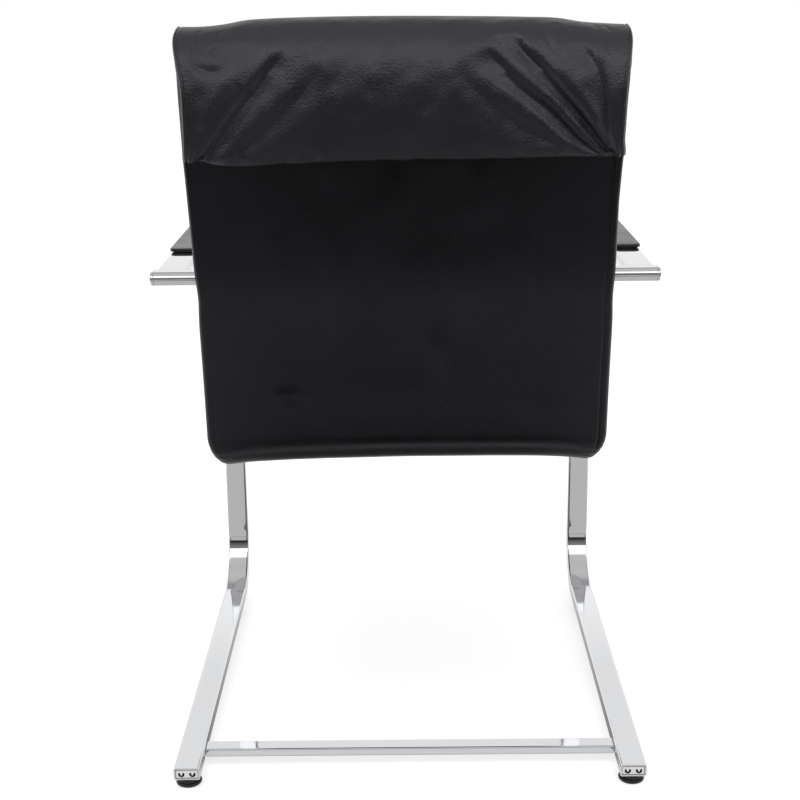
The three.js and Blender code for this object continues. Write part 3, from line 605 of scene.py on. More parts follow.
def slotted_insert(low, high):
    """The insert as two skins. A slot's middle line is a half circle with two short upright arms,
    and the face sinks wherever it is nearer to that line than half the slot's width."""
    a, b = np.linspace(-1, 1, 141)[None, :], np.linspace(-1, 1, 61)[:, None]
    top = high.z - insert_gap
    across, rise = a * (high.x - low.x) / 2, b * (top - low.z) / 2
    across, rise = np.broadcast_arrays(across, rise)
    beside = np.abs(np.abs(across) - slot_offset)
    over = rise + slot_drop
    from_round = np.abs(np.hypot(beside, over) - slot_radius)
    from_arm = np.hypot(beside - slot_radius, np.maximum(over - slot_arm, 0))
    from_slot = np.where(over < 0, from_round, from_arm)
    past_wall = smooth_step(from_slot, slot_half + slot_wall[0], slot_half + slot_wall[1])
    sink = slot_depth * (1 - past_wall) + insert_round * (np.abs(a) ** 40 + np.abs(b) ** 20)
    front = np.stack([
        np.pad((low.x + high.x) / 2 + across, 1, mode="edge"),
        np.pad(high.y - sink, 1, constant_values=low.y),
        np.pad((low.z + top) / 2 + rise, 1, mode="edge"),
    ], axis=-1)
    rear = front.copy()
    rear[..., 1] = low.y
    return two_skins(front, rear)


pale_plastic = pale_moulding()
for side in sides:
    points, faces = slotted_insert(*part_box(f"runner_plug_{side}"))
    insert = add_object(f"slotted_insert_{side}", points, faces, pale_plastic)
    close_poles(insert)
    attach(insert, "root")
    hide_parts(f"runner_plug_{side}")

# Floor cross tube. A flat chromed tube is welded between the two runners near their rear ends and
# keeps them the same distance apart. Its wall is thinner than the frame's.
floor_low, floor_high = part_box("floor_cross_tube")


def cross_tube(name, low, high, corner, wall):
    """A hollow tube straight across the chair, filling the box from low to high."""
    length = high.x - low.x
    places = np.array([[low.x, 0.0], [low.x + length / 2, 0.0], [high.x, 0.0]])
    along = np.tile([1.0, 0.0], (len(places), 1))
    size = (high.y - low.y, high.z - low.z)

    def lay_across(rings, count):
        """Turns the rings from the plane across X to run along X."""
        y = rings[..., 0] + (low.y + high.y) / 2
        z = rings[..., 2] + (low.z + high.z) / 2
        return np.stack([rings[..., 1], y, z], axis=-1)

    tube = hollow_tube(name, places, along, size, corner, wall, shape=lay_across)
    tube.data.materials.append(chrome)
    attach(tube, "root")
    return tube


stretcher_corner = stretcher_wall = 1.5 * MM
floor_tube = cross_tube(
    "floor_stretcher", floor_low, floor_high, stretcher_corner, stretcher_wall
)
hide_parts("floor_cross_tube")

# Seat cross tube. A deeper chromed tube joins the two legs under the front of the seat, and two
# zinc-plated bolts go up through it into the shell.
seat_tube_low, seat_tube_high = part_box("seat_cross_tube")
seat_tube = cross_tube("seat_stretcher", seat_tube_low, seat_tube_high, tube_corner, tube_wall)
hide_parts("seat_cross_tube")


def zinc_steel():
    """Zinc-plated steel: a grey metal with a soft crystalline bloom."""
    material, tree, output = new_material("zinc_plated_steel")
    place = add_node(tree, "TexCoord").outputs["Object"]
    bloom = add_node(tree, "TexVoronoi", {"Vector": place, "Scale": 1 / (1.6 * MM)})
    tone = add_node(tree, "ValToRGB", {"Fac": bloom.outputs["Distance"]}, [
        (0.0, "#9FA3A8"), (1.0, "#B9BCC0"),
    ]).outputs["Color"]
    rough = add_node(tree, "MapRange", {
        "Value": bloom.outputs["Distance"], "To Min": 0.28, "To Max": 0.45,
    })
    fine = add_node(tree, "Bump", {
        "Strength": 0.4, "Distance": 0.02 * MM, "Height": bloom.outputs["Distance"],
    })
    metal = add_node(tree, "BsdfPrincipled", {
        "Base Color": tone, "Metallic": 1.0, "Roughness": rough.outputs["Result"],
        "Normal": fine.outputs["Normal"],
    })
    tree.links.new(metal.outputs[0], output.inputs["Surface"])
    return material


zinc = zinc_steel()
for side in sides:
    dress(f"seat_bolt_{side}", zinc)


# Shell. One board of beech plywood, pressed into its bend and stained dark, carries seat and back
# inside the covers. Two steel plates, each with two screws, tie it to the tube behind.
def beech_plywood():
    """Rotary-cut beech stained dark, so that it doesn't show between the cushions, with short
    flecks along the grain."""
    material, tree, output = new_material("bent_beech_plywood")
    place = add_node(tree, "TexCoord").outputs["Object"]
    grain_length, grain_width = 60 * MM, 2.5 * MM
    stretched = add_node(tree, "Mapping", {
        "Vector": place, "Scale": (1 / grain_width, 1 / grain_length, 1 / grain_length),
    })
    grain = add_node(tree, "TexNoise", {
        "Vector": stretched.outputs[0], "Scale": 1.0, "Detail": 6, "Distortion": 0.4,
    })
    tone = add_node(tree, "ValToRGB", {"Fac": grain.outputs["Fac"]}, [
        (0.25, "#17130F"), (0.5, "#1F1914"), (0.75, "#281F18"),
    ]).outputs["Color"]
    fine = add_node(tree, "Bump", {
        "Strength": 0.4, "Distance": 0.08 * MM, "Height": grain.outputs["Fac"],
    })
    wood = add_node(tree, "BsdfPrincipled", {
        "Base Color": tone, "Roughness": 0.55, "Normal": fine.outputs["Normal"],
    })
    tree.links.new(wood.outputs[0], output.inputs["Surface"])
    return material


plywood = beech_plywood()
dress("seat_shell", plywood)
for side in sides:
    dress(f"carrier_plate_{side}", zinc)
    for row in ("upper", "lower"):
        dress(f"plate_screw_{row}_{side}", zinc)

# Back cross tube. A flat-oval chromed tube runs through the back cover and carries the shell. Its
# ends stick out past the arms and are closed by domed chromed caps.
back_tube = cross_tube("back_carrier_tube", oval_low, oval_high, oval_corner, tube_wall)
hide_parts("back_cross_tube")

cap_joint = 0.06 * MM
cap_edge = 0.12 * MM
plug_reach = 6 * MM
plug_inset = tube_wall + 0.2 * MM
dome_top = 3 * MM


def with_poles(rings):
    """The rings with a pole at each end, where an end ring's points meet in its middle."""
    first, last = (
        np.broadcast_to(rings[k:k + 1].mean(axis=1, keepdims=True), rings[:1].shape)
        for k in (0, len(rings) - 1)
    )
    return np.concatenate([first, rings, last])


for side, sign in sides.items():
    low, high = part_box(f"back_tube_cap_{side}")
    tip = high.x if sign > 0 else low.x
    mouth = oval_high.x + cap_joint
    thick = abs(tip) - mouth
    dome = 0.55 * thick
    turn = np.linspace(0, math.pi / 2, 7)
    insets = np.concatenate([
        [plug_inset, plug_inset, cap_edge, 0, 0], dome * (1 - np.cos(turn)), [dome + dome_top],
    ])
    depths = np.concatenate([
        [mouth - plug_reach, mouth, mouth, mouth + cap_edge, mouth + thick - dome],
        mouth + thick - dome + dome * np.sin(turn), [mouth + thick],
    ])
    rings = []
    for inset, depth in zip(insets, depths):
        outline = rounded_outline(oval_depth, oval_height, oval_corner, inset)
        x = np.full(len(outline), sign * depth)
        rings.append(np.stack(
            [x, outline[:, 0] + oval_centre.y, outline[:, 1] + oval_centre.z], axis=1
        ))
    rings = with_poles(np.array(rings))
    cap = add_object(
        f"domed_tube_cap_{side}", rings, grid_faces(*rings.shape[:2], loop_columns=True), chrome
    )
    close_poles(cap)
    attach(cap, "root")
    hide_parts(f"back_tube_cap_{side}")

# Rear cover. Smooth black leather over thin foam is drawn round the back and the underside of the
# shell. A narrow strip is sewn on along each side, and the tube comes out through it.
back_lean = math.radians(7.8)
seat_pitch = math.radians(3)
panel_foot_setback = 88 * MM
panel_foot_height = 391 * MM
cover_bend = 45 * MM
back_height = 415 * MM
board = 12 * MM
board_bend = 40 * MM
seat_padding = 8 * MM
cover_low, cover_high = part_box("rear_cover")
shell_low, shell_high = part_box("seat_shell")
panel_foot = np.array([frame_high.y - panel_foot_setback, panel_foot_height])
up_back = np.array([math.sin(back_lean), math.cos(back_lean)])
out_back = np.array([math.cos(back_lean), -math.sin(back_lean)])
down_seat = np.array([-math.sin(seat_pitch), -math.cos(seat_pitch)])
forward = np.array([-math.cos(seat_pitch), math.sin(seat_pitch)])
underside = np.array([panel_foot[0] - cover_bend, cover_low.z])
tube_out = (np.array([oval_centre.y, oval_centre.z]) - panel_foot) @ out_back
tube_up = (np.array([oval_centre.y, oval_centre.z]) - panel_foot) @ up_back
oval_reach = (
    (oval_depth / 2 - oval_corner) * math.cos(back_lean)
    + (oval_height / 2 - oval_corner) * math.sin(back_lean) + oval_corner
)
plate = 3 * MM
board_rear = tube_out - oval_reach - 2 * seat_gap - plate
board_face = board_rear - board


def on_back(x, up, out):
    """Places given across the chair, up its back and out of it, in the chair's own frame."""
    x, up, out = np.broadcast_arrays(x, up, out)
    plane = panel_foot + up[..., None] * up_back + out[..., None] * out_back
    return np.concatenate([x[..., None], plane], axis=-1)


def crossing(point_a, way_a, point_b, way_b):
    """Where two lines in a plane meet."""
    apart = point_b - point_a
    spread = way_a[0] * way_b[1] - way_a[1] * way_b[0]
    return point_a + (apart[0] * way_b[1] - apart[1] * way_b[0]) / spread * way_a


def shell_line(out_of_back, below_seat, radius, front, rise_steps, run_steps, arc_steps):
    """The L-shaped line of one face of the shell: down the back, round the bend and along the
    seat, with the same count of stations for every face."""
    back_point = panel_foot + out_back * out_of_back
    seat_point = underside + down_seat * below_seat
    corner = crossing(back_point, up_back, seat_point, forward)
    top = back_point + up_back * back_height
    reach = (corner[0] - front) / math.cos(seat_pitch)
    places, _ = bent_line([top, corner, corner + forward * reach], radius, arc_steps)
    down = places[0] + (places[1] - places[0]) * np.linspace(0, 1, rise_steps)[:-1, None]
    run = places[-2] + (places[-1] - places[-2]) * np.linspace(0, 1, run_steps)[1:, None]
    return np.concatenate([down, places[1:-1], run])


counts = (110, 90, 36)
cover_front = cover_low.y
outer_line = shell_line(0, 0, cover_bend, cover_front, *counts)
recess_line = shell_line(
    board_rear + seat_gap, -seat_padding, board_bend + seat_gap, cover_front, *counts
)
lip_line = shell_line(
    board_face, -seat_padding - board - seat_gap, board_bend - board, cover_front, *counts
)
station = np.concatenate([[0], np.cumsum(np.linalg.norm(np.diff(outer_line, axis=0), axis=1))])
station_up = back_height - station
bend_middle = station[counts[0] + counts[2] // 2]


def bump_at(values, middle, width):
    """A smooth hill of height one, a Gauss curve in shape."""
    return np.exp(-((values - middle) / width) ** 2)


def curve_through(values, knots):
    """A smooth line through a few chosen points: a cubic between each two, with the slope at
    each point taken from its neighbours."""
    knots = np.asarray(knots, float)
    at, height = knots[:, 0], knots[:, 1]
    slope = np.gradient(height, at)
    values = np.clip(values, at[0], at[-1])
    k = np.clip(np.searchsorted(at, values, side="right") - 1, 0, len(at) - 2)
    step = at[k + 1] - at[k]
    t = (values - at[k]) / step
    return (
        height[k] * (1 + 2 * t) * (1 - t) ** 2 + height[k + 1] * t ** 2 * (3 - 2 * t)
        + step * (slope[k] * t * (1 - t) ** 2 - slope[k + 1] * t ** 2 * (1 - t))
    )


cover_half_top = (cover_high.x - cover_low.x) / 2
cover_half = cover_half_top - 1.9 * MM
tight_half = cover_half - 1.2 * MM
tube_station = back_height - tube_up
tight_place, tight_spread = tube_station + 22 * MM, 20 * MM
foot_draw_in = 6.5 * MM
back_edge, foot_edge_extra = 5 * MM, 9 * MM
below_bend = smooth_step(station, bend_middle - 34 * MM, bend_middle + 10 * MM)
half_width = (
    cover_half
    + (cover_half_top - cover_half) * smooth_step(station_up, 0.72 * back_height, back_height)
    - (cover_half - tight_half) * bump_at(station, tight_place, tight_spread)
    - foot_draw_in * below_bend
)
edge_round = back_edge + foot_edge_extra * below_bend
lip_round = 3.5 * MM
side_hollow = 1.5 * MM
strip_seam = 10 * MM
seam_spread = 1.1 * MM

# Each side swells a little toward the flap, from what height and by how much at the hem, and draws
# in again above it by top_draw. The left side's seam is drawn less tight than the right one's.
side_swell = {1: (170 * MM, 4.2 * MM), -1: (275 * MM, 2.1 * MM)}
hem_height = 323 * MM
top_draw = {1: 1.7 * MM, -1: 0.2 * MM}
seam_sink = {1: 0.05 * MM, -1: 0.5 * MM}

# How far the leather hangs below the straight line of the bend, from the right corner to the left,
# and where along the cover it starts to hang and where it ends, from the middle of the bend.
hang_knots = np.array([
    (-215, 3.6), (-200, 2.2), (-185, 0.6), (-163, -0.8), (-110, -2.0), (-50, -2.2), (0, -2.2),
    (50, -1.4), (103, -0.4), (130, 0.4), (156, 1.7), (183, 3.4), (200, 5.4), (215, 6.2),
]) * MM
hang_start, hang_end = np.array([-42, -6]) * MM, np.array([30, 110]) * MM

# How far the leather lies below the straight line of the back, from the foot up: it is drawn
# tight over the tube, so that it falls away a little above and below it.
tight_knots = np.array([
    (-300, 0), (-20, 0), (0, 0), (22, 0.6), (48, 1.6), (75, 2.0), (110, 1.6), (150, 0.7),
    (180, 0.1), (200, 0.1), (230, 0.6), (270, 1.4), (330, 2.4), (415, 2.8),
]) * MM


def panel_dents(x, up):
    """How far the leather of the rear panel sinks at a place: a few soft hollows where the foam
    gives, a faint upright line, a shallow belly that keeps it from being dead flat, and the pull
    over the tube."""
    dents = [
        (-35, 108, 11, 26, 1.3), (89, 148, 10, 34, 1.1), (130, 54, 16, 9, 1.2),
        (-140, 175, 2.2, 62, 0.45), (-150, 40, 22, 14, 0.7), (20, 60, 40, 18, 0.5),
        (170, 210, 22, 50, 0.5), (-60, 250, 60, 30, 0.4),
    ]
    sink = np.zeros(np.broadcast(x, up).shape)
    for dent_x, dent_up, wide, tall, depth in dents:
        away = ((x - dent_x * MM) / (wide * MM)) ** 2 + ((up - dent_up * MM) / (tall * MM)) ** 2
        sink += depth * MM * np.exp(-away)
    belly = 1.2 * MM * (np.abs(x) / cover_half) ** 4
    return sink + belly + curve_through(up, tight_knots)


def cover_section(sign):
    """One half of the cover's section at every station, as x and depth from the face: from the
    middle of the face, over the sewn strip and the rounded edge, along the side to the lip."""
    swell_from, swell = side_swell[sign]
    rising = np.clip((station_up - swell_from) / (hem_height - swell_from), 0, 1)
    above_hem = np.clip((station_up - hem_height) / (back_height - hem_height), 0, 1)
    half = (half_width + swell * rising - top_draw[sign] * above_hem)[:, None]
    edge = edge_round[:, None]
    thick = np.linalg.norm(lip_line - outer_line, axis=1)[:, None]
    edge = np.minimum(edge, 0.6 * thick)
    fine_strip = 16 * MM
    coarse = (half - edge - fine_strip) * np.linspace(0, 1, 58)[None, :-1]
    face_x = np.concatenate([coarse, half - edge - fine_strip * np.linspace(1, 0, 28)[None, :]], 1)
    face_depth = np.zeros_like(face_x)
    angle = np.linspace(0, math.pi / 2, 15)[None, 1:]
    arc_x = half - edge + edge * np.sin(angle)
    arc_depth = edge * (1 - np.cos(angle))
    low = thick - lip_round
    side_share = np.linspace(0, 1, 12)[None, 1:]
    side_depth = edge + (low - edge) * side_share
    side_x = half - side_hollow * np.sin(math.pi * side_share)
    lip_x = half - lip_round * (1 - np.cos(angle))
    lip_depth = low + lip_round * np.sin(angle)
    recess = (shell_high.x - shell_low.x) / 2 + seat_gap
    rim_x = np.full_like(half, recess)
    inner = np.linalg.norm(recess_line - outer_line, axis=1)[:, None]
    x = np.concatenate([face_x, arc_x, side_x, lip_x, rim_x, rim_x, 0 * rim_x], axis=1)
    depth = np.concatenate([face_depth, arc_depth, side_depth, lip_depth, thick, inner, inner], 1)
    seam = seam_sink[sign] * np.exp(-(((half - strip_seam) - x) / seam_spread) ** 2)
    depth = depth + np.where(depth < 0.5 * thick, seam, 0)
    is_face = np.arange(x.shape[1])[None, :] < face_x.shape[1] + arc_x.shape[1] + side_x.shape[1]
    sink = panel_dents(sign * x, station_up[:, None])
    depth = depth + np.where(is_face, sink * (1 - smooth_step(depth, 0.2 * thick, 0.8 * thick)), 0)
    return sign * x, depth / thick


left_x, left_share = cover_section(1)
right_x, right_share = cover_section(-1)
ring_x = np.concatenate([left_x[:, ::-1], right_x[:, 1:-1]], axis=1)
ring_share = np.concatenate([left_share[:, ::-1], right_share[:, 1:-1]], axis=1)
ring_plane = outer_line[:, None] + (lip_line - outer_line)[:, None] * ring_share[..., None]
hang = curve_through(ring_x, hang_knots) * (1 - smooth_step(ring_share, 0.1, 0.8))
from_bend = station - bend_middle
hang_share = smooth_step(from_bend, *hang_start) * (1 - smooth_step(from_bend, *hang_end))
gather_height, gather_length = 0.55 * MM, 8.5 * MM
gathers = gather_height * np.sin(2 * math.pi * station / gather_length)[:, None] * (
    smooth_step(np.abs(ring_x), cover_half - 34 * MM, cover_half - 8 * MM)
    * bump_at(station, bend_middle - 4 * MM, 20 * MM)[:, None] * (ring_share < 0.5)
)
ring_plane[..., 1] -= hang * hang_share[:, None] + gathers
cover_rings = with_poles(np.concatenate([ring_x[..., None], ring_plane], axis=2))


def leather(name, tone, roughness, grain_depth, wrinkle_depth, gloss=0.5):
    """Black aniline leather: dyed through, lightly waxed, with pebbled pores and fine wrinkles that
    lie mostly across the chair. The pores are drawn at 2.2 mm, about twice as coarse as real ones,
    so that they show."""
    material, tree, output = new_material(name)
    place = add_node(tree, "TexCoord").outputs["Object"]
    wobble = add_node(tree, "TexNoise", {"Vector": place, "Scale": 1 / (7 * MM), "Detail": 2})
    pore_size = 2.2 * MM
    moved = add_node(
        tree, "VectorMath", {0: wobble.outputs["Color"], "Scale": 3 * MM}, operation="SCALE"
    )
    joined = add_node(tree, "VectorMath", {0: place, 1: moved.outputs[0]}, operation="ADD")
    pores = add_node(tree, "TexVoronoi", {
        "Vector": joined.outputs[0], "Scale": 1 / pore_size, "Smoothness": 0.5,
    }, feature="SMOOTH_F1")
    wrinkle_size, wrinkle_stretch = 4 * MM, 0.45
    across = add_node(tree, "Mapping", {
        "Vector": joined.outputs[0], "Scale": (wrinkle_stretch, 1, 1),
    })
    wrinkles = add_node(tree, "TexNoise", {
        "Vector": across.outputs[0], "Scale": 1 / wrinkle_size, "Detail": 4, "Distortion": 1.2,
    })
    grain_bump = add_node(tree, "Bump", {
        "Strength": 1.0, "Distance": grain_depth, "Height": pores.outputs["Distance"],
    }, invert=True)
    skin_bump = add_node(tree, "Bump", {
        "Strength": 1.0, "Distance": wrinkle_depth, "Height": wrinkles.outputs["Fac"],
        "Normal": grain_bump.outputs["Normal"],
    })
    cloud = add_node(tree, "TexNoise", {"Vector": place, "Scale": 1 / (45 * MM), "Detail": 4})
    colour = add_node(tree, "ValToRGB", {"Fac": cloud.outputs["Fac"]}, [
        (0.3, tone[0]), (0.7, tone[1]),
    ]).outputs["Color"]
    rough = add_node(tree, "MapRange", {
        "Value": cloud.outputs["Fac"], "From Min": 0.3, "From Max": 0.7,
        "To Min": roughness - 0.03, "To Max": roughness + 0.05,
    })
    hide = add_node(tree, "BsdfPrincipled", {
        "Base Color": colour,
        "Roughness": rough.outputs["Result"],
        "Specular IOR Level": gloss,
        "Specular Tint": linear_colour("#F3F5FF"),
        "Normal": skin_bump.outputs["Normal"],
    })
    tree.links.new(hide.outputs[0], output.inputs["Surface"])
    return material


panel_leather = leather(
    "smooth_black_leather", ("#060608", "#09090B"), 0.30, 0.06 * MM, 0.08 * MM
)
cover = add_object(
    "upholstered_rear_cover", cover_rings,
    grid_faces(*cover_rings.shape[:2], loop_columns=True), panel_leather, smooth_angle=50,
)
close_poles(cover)
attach(cover, "root")
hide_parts("rear_cover")

# Seat cushion. A foam block in soft black leather, crowned on top and drawn in between its
# corners, lies on the shell with its front edge over the front of the board.
cushion_low, cushion_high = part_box("seat_cushion")
cushion_seam = 8 * MM
seat_thick, seat_crown, cushion_draw_in = 40 * MM, 14 * MM, 6 * MM
cushion_swell, cushion_setback = 3.6 * MM, 12 * MM
soft_leather = leather("soft_black_leather", ("#0B0B0C", "#101012"), 0.38, 0.15 * MM, 0.22 * MM)


def crowned_cushion(half, length, thick, crown, draw_in, count=110):
    """A cushion on its own axes: x and y in the plane and z up from its lower face. Its upper and
    lower skins meet in the seam. Its sides are drawn in halfway along, its corners are rounded in
    plan, and both skins rise steeply from the seam and are nearly flat within it."""
    across = np.sin(np.linspace(-1, 1, count) * math.pi / 2)
    a, b = across[None, :], across[:, None]
    corner_share, steepness = 0.09, 24
    x = a * (half - draw_in * (1 - b ** 2)) * np.sqrt(1 - corner_share * b ** 8)
    y = b * length / 2 * np.sqrt(1 - corner_share * a ** 8)
    x, y = np.broadcast_arrays(x, y)
    full = np.sqrt(np.clip((1 - a ** steepness) * (1 - b ** steepness), 0, 1))
    top = cushion_seam + (thick - cushion_seam + crown * (1 - a ** 2) * (1 - b ** 4)) * full
    bottom = cushion_seam * (1 - full)
    upper = np.stack([x, y, top], axis=-1)
    lower = np.stack([x, y, bottom], axis=-1)
    return upper, lower


seat_half = (cushion_high.x - cushion_low.x) / 2 + cushion_swell
seat_point = underside + down_seat * (-seat_padding - board - 2 * seat_gap)
seat_corner = crossing(panel_foot + out_back * board_face, up_back, seat_point, forward)
nose = (cushion_seam + seat_gap) * math.tan(seat_pitch)
reach = (seat_corner[0] - cushion_low.y) / math.cos(seat_pitch) - nose
seat_length = reach - cushion_setback
seat_middle = seat_corner + forward * (reach - seat_length / 2)


def on_seat(points):
    """Turns a cushion's own axes to the pitched seat: y runs rearward and z off the seat."""
    plane = (
        seat_middle
        - points[..., 1:2] * forward[None, :]
        - points[..., 2:3] * down_seat[None, :]
    )
    return np.concatenate([points[..., :1], plane], axis=-1)


upper, lower = crowned_cushion(seat_half, seat_length, seat_thick, seat_crown, cushion_draw_in)
points, faces = two_skins(on_seat(upper), on_seat(lower))
seat_cushion = add_object("seat_cushion_leather", points, faces, soft_leather, smooth_angle=80)
close_poles(seat_cushion)
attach(seat_cushion, "root")
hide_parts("seat_cushion")

# Back cushion. It stands on the rear of the seat cushion, leans on the shell and ends at the seam
# of the head flap.
flap_seam = back_height - 14 * MM
back_cushion_thick = 38 * MM
back_cushion_crown = 12 * MM
rest_low = (seat_corner - down_seat * (seat_thick + seat_crown / 4) - panel_foot) @ up_back
rest_high = flap_seam - seat_gap
upper, lower = crowned_cushion(
    seat_half, rest_high - rest_low, back_cushion_thick, back_cushion_crown, cushion_draw_in
)


def off_back(points):
    """Turns a cushion's own axes to the back: y runs up it and z forward off the shell."""
    up = (rest_low + rest_high) / 2 + points[..., 1]
    return on_back(points[..., 0], up, board_face - seat_gap - points[..., 2])


points, faces = two_skins(off_back(upper), off_back(lower))
back_cushion = add_object("back_cushion_leather", points, faces, soft_leather, smooth_angle=80)
close_poles(back_cushion)
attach(back_cushion, "root")
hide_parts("back_cushion")

# Head flap. A padded leather roll wraps over the top of the back and hangs down behind it. Its
# lower corners are caught by stitches, which pull long creases into the leather.
flap_half = 226 * MM
hem_out = 6 * MM
flap_bulge = 18 * MM
widest_up = 358 * MM
crest_out = -42 * MM
flap_front = board_face - back_cushion_thick
low_power, rear_power, front_power = 2 / 4.2, 2 / 2.4, 0.75

# The hem's height and the crest's height above the shell, from the right side to the left, and
# half the flap's width from the hem up.
hem_knots = np.array([
    (-228, 326), (-212, 325), (-180, 327), (-98, 326), (4, 326), (119, 323), (190, 321), (228, 326),
]) * MM
rise_knots = np.array([
    (-228, 35.6), (-212, 36.3), (-180, 38.6), (-155, 42.7), (-120, 44.3), (-60, 45.7), (40, 46.7),
    (100, 46.2), (135, 45.2), (160, 43.4), (178, 40.0), (192, 38.3), (206, 37.5), (228, 37.8),
]) * MM
left_knots = np.array([
    (323, 227), (355, 225.2), (380, 224.8), (404, 225.4), (424, 229), (440, 232.6), (450, 233.8),
    (458, 232.4),
]) * MM
right_knots = np.array([
    (323, 225), (329, 226), (345, 224.6), (360, 224.8), (382, 225.2), (404, 226.6), (424, 229),
    (444, 232.4), (456, 233.2),
]) * MM


def half_at(up, x):
    """Half the flap's width at a height, on the side of the middle where x lies."""
    return np.where(x >= 0, curve_through(up, left_knots), curve_through(up, right_knots))


# Creases: points as x across and s along the leather from the hem, in millimetres, from the
# stitched corner upward, then how deep, and how wide on the upper side and on the lower. Ridges
# have a height and one width.
creases = [
    ([(214, 2), (205, 14), (192, 33), (168, 65), (146, 90), (129, 112), (111, 131)], 7.5, 6, 12),
    ([(191, 24), (178, 38), (157, 65), (137, 88), (116, 120)], 0.9, 3, 5),
    ([(206, 108), (194, 105), (183, 107), (175, 116), (168, 126), (160, 137)], 2.4, 10, 9),
    ([(161, 28), (140, 46), (113, 70), (94, 89), (76, 107)], 3.0, 9, 13),
    ([(-199, 9), (-175, 28), (-147, 56), (-116, 82), (-91, 111), (-80, 126)], 9.0, 6, 13),
    ([(-218, 2), (-206, 18), (-182, 47), (-158, 74), (-136, 102), (-116, 126), (-112, 141)],
     9.0, 5, 12),
    ([(-213, 14), (-207, 36), (-203, 63), (-198, 91), (-190, 109), (-184, 119), (-178, 131)],
     5.0, 5, 10),
    ([(-151, 24), (-128, 37), (-102, 56), (-77, 76), (-47, 108)], 3.0, 9, 13),
    ([(170, 74), (163, 82), (157, 90)], 1.4, 9, 9),
]
ridges = [
    ([(-194, 10), (-155, 35), (-123, 65), (-104, 79), (-73, 110)], 3.4, 9),
    ([(-209, 10), (-177, 42), (-143, 78), (-112, 111)], 2.0, 5.5),
    ([(-209, 34), (-189, 61), (-165, 91), (-150, 112)], 2.2, 8),
    ([(205, 50), (190, 82), (168, 108)], 1.4, 10),
    ([(140, 22), (110, 50), (84, 80)], 1.2, 12),
]


def short_wrinkles(seed, count, x_range, s_range, slant):
    """Short fine creases strewn over a region, standing within some angle of the upright."""
    random = np.random.default_rng(seed)
    wrinkles = []
    for _ in range(count):
        x, s = random.uniform(*x_range), random.uniform(*s_range)
        angle, reach = random.uniform(*slant), random.uniform(7, 17)
        step = np.array([math.sin(angle), math.cos(angle)]) * reach
        bow = random.uniform(-2, 2)
        middle = np.array([x + bow, s])
        wrinkles.append(([middle - step, middle + (bow, 0), middle + step], 0.8, 3.2, 2.4))
    return wrinkles


creases += short_wrinkles(11, 16, (-212, -95), (118, 162), (-0.2, 0.7))
creases += short_wrinkles(5, 8, (168, 222), (112, 158), (-0.7, 0.3))


def crease_line(points, count=200):
    """A smooth run of points through the chosen ones, evenly spaced in their order."""
    points = np.asarray(points, float) * MM
    order = np.arange(len(points), dtype=float)
    t = np.linspace(0, len(points) - 1, count)
    return np.stack([
        curve_through(t, np.stack([order, points[:, k]], axis=1)) for k in (0, 1)
    ], axis=1)


def crease_draw(x, s):
    """How far the creases and ridges move the leather inward. The leather sinks steeply on a
    crease's upper side and comes back gently on its lower side. Each crease widens and then fades
    toward its upper end."""
    flat = np.stack([x.ravel(), s.ravel()], axis=1)
    total = np.zeros(len(flat))
    for points, depth, above, below in creases + [(p, -d, w, w) for p, d, w in ridges]:
        line = crease_line(points)
        margin = 3 * max(above, below) * MM
        reached = np.all((flat > line.min(axis=0) - margin) & (flat < line.max(axis=0) + margin), 1)
        gap_to = flat[reached][:, None, :] - line[None, :, :]
        squared = (gap_to ** 2).sum(axis=2)
        near = squared.argmin(axis=1)
        away = np.sqrt(squared[np.arange(len(near)), near])
        way = np.gradient(line, axis=0)
        off = gap_to[np.arange(len(near)), near]
        over = way[near, 0] * off[:, 1] - way[near, 1] * off[:, 0]
        upper_side = over * np.sign(way[near, 0]) > 0
        share = near / (len(line) - 1)
        spread = np.where(upper_side, above, below) * MM * (0.6 + 0.7 * share)
        fade = smooth_step(share, -0.3, 0.15) * (1 - smooth_step(share, 0.7, 1.0))
        total[reached] += depth * MM * fade * np.exp(-(away / spread) ** 1.6)
    return total.reshape(x.shape)


def soft_waves(x, s, seed, longest, steepness):
    """The slight waves of stuffed leather: sines of several lengths in seeded directions."""
    random = np.random.default_rng(seed)
    total = 0 * x
    for _ in range(14):
        length = random.uniform(0.35, 1.0) * longest
        angle, phase = random.uniform(0, math.pi), random.uniform(0, 2 * math.pi)
        place_along = x * math.cos(angle) + s * math.sin(angle)
        total += steepness * length * np.sin(2 * math.pi * place_along / length + phase)
    return total


def even_turn(count):
    """Angles over a quarter turn, closer together at both ends, so that points on a squarish
    arch come out evenly spaced."""
    t = np.linspace(0, 1, count)[:, None]
    return math.pi / 2 * t ** 1.4 / (t ** 1.4 + (1 - t) ** 1.4)


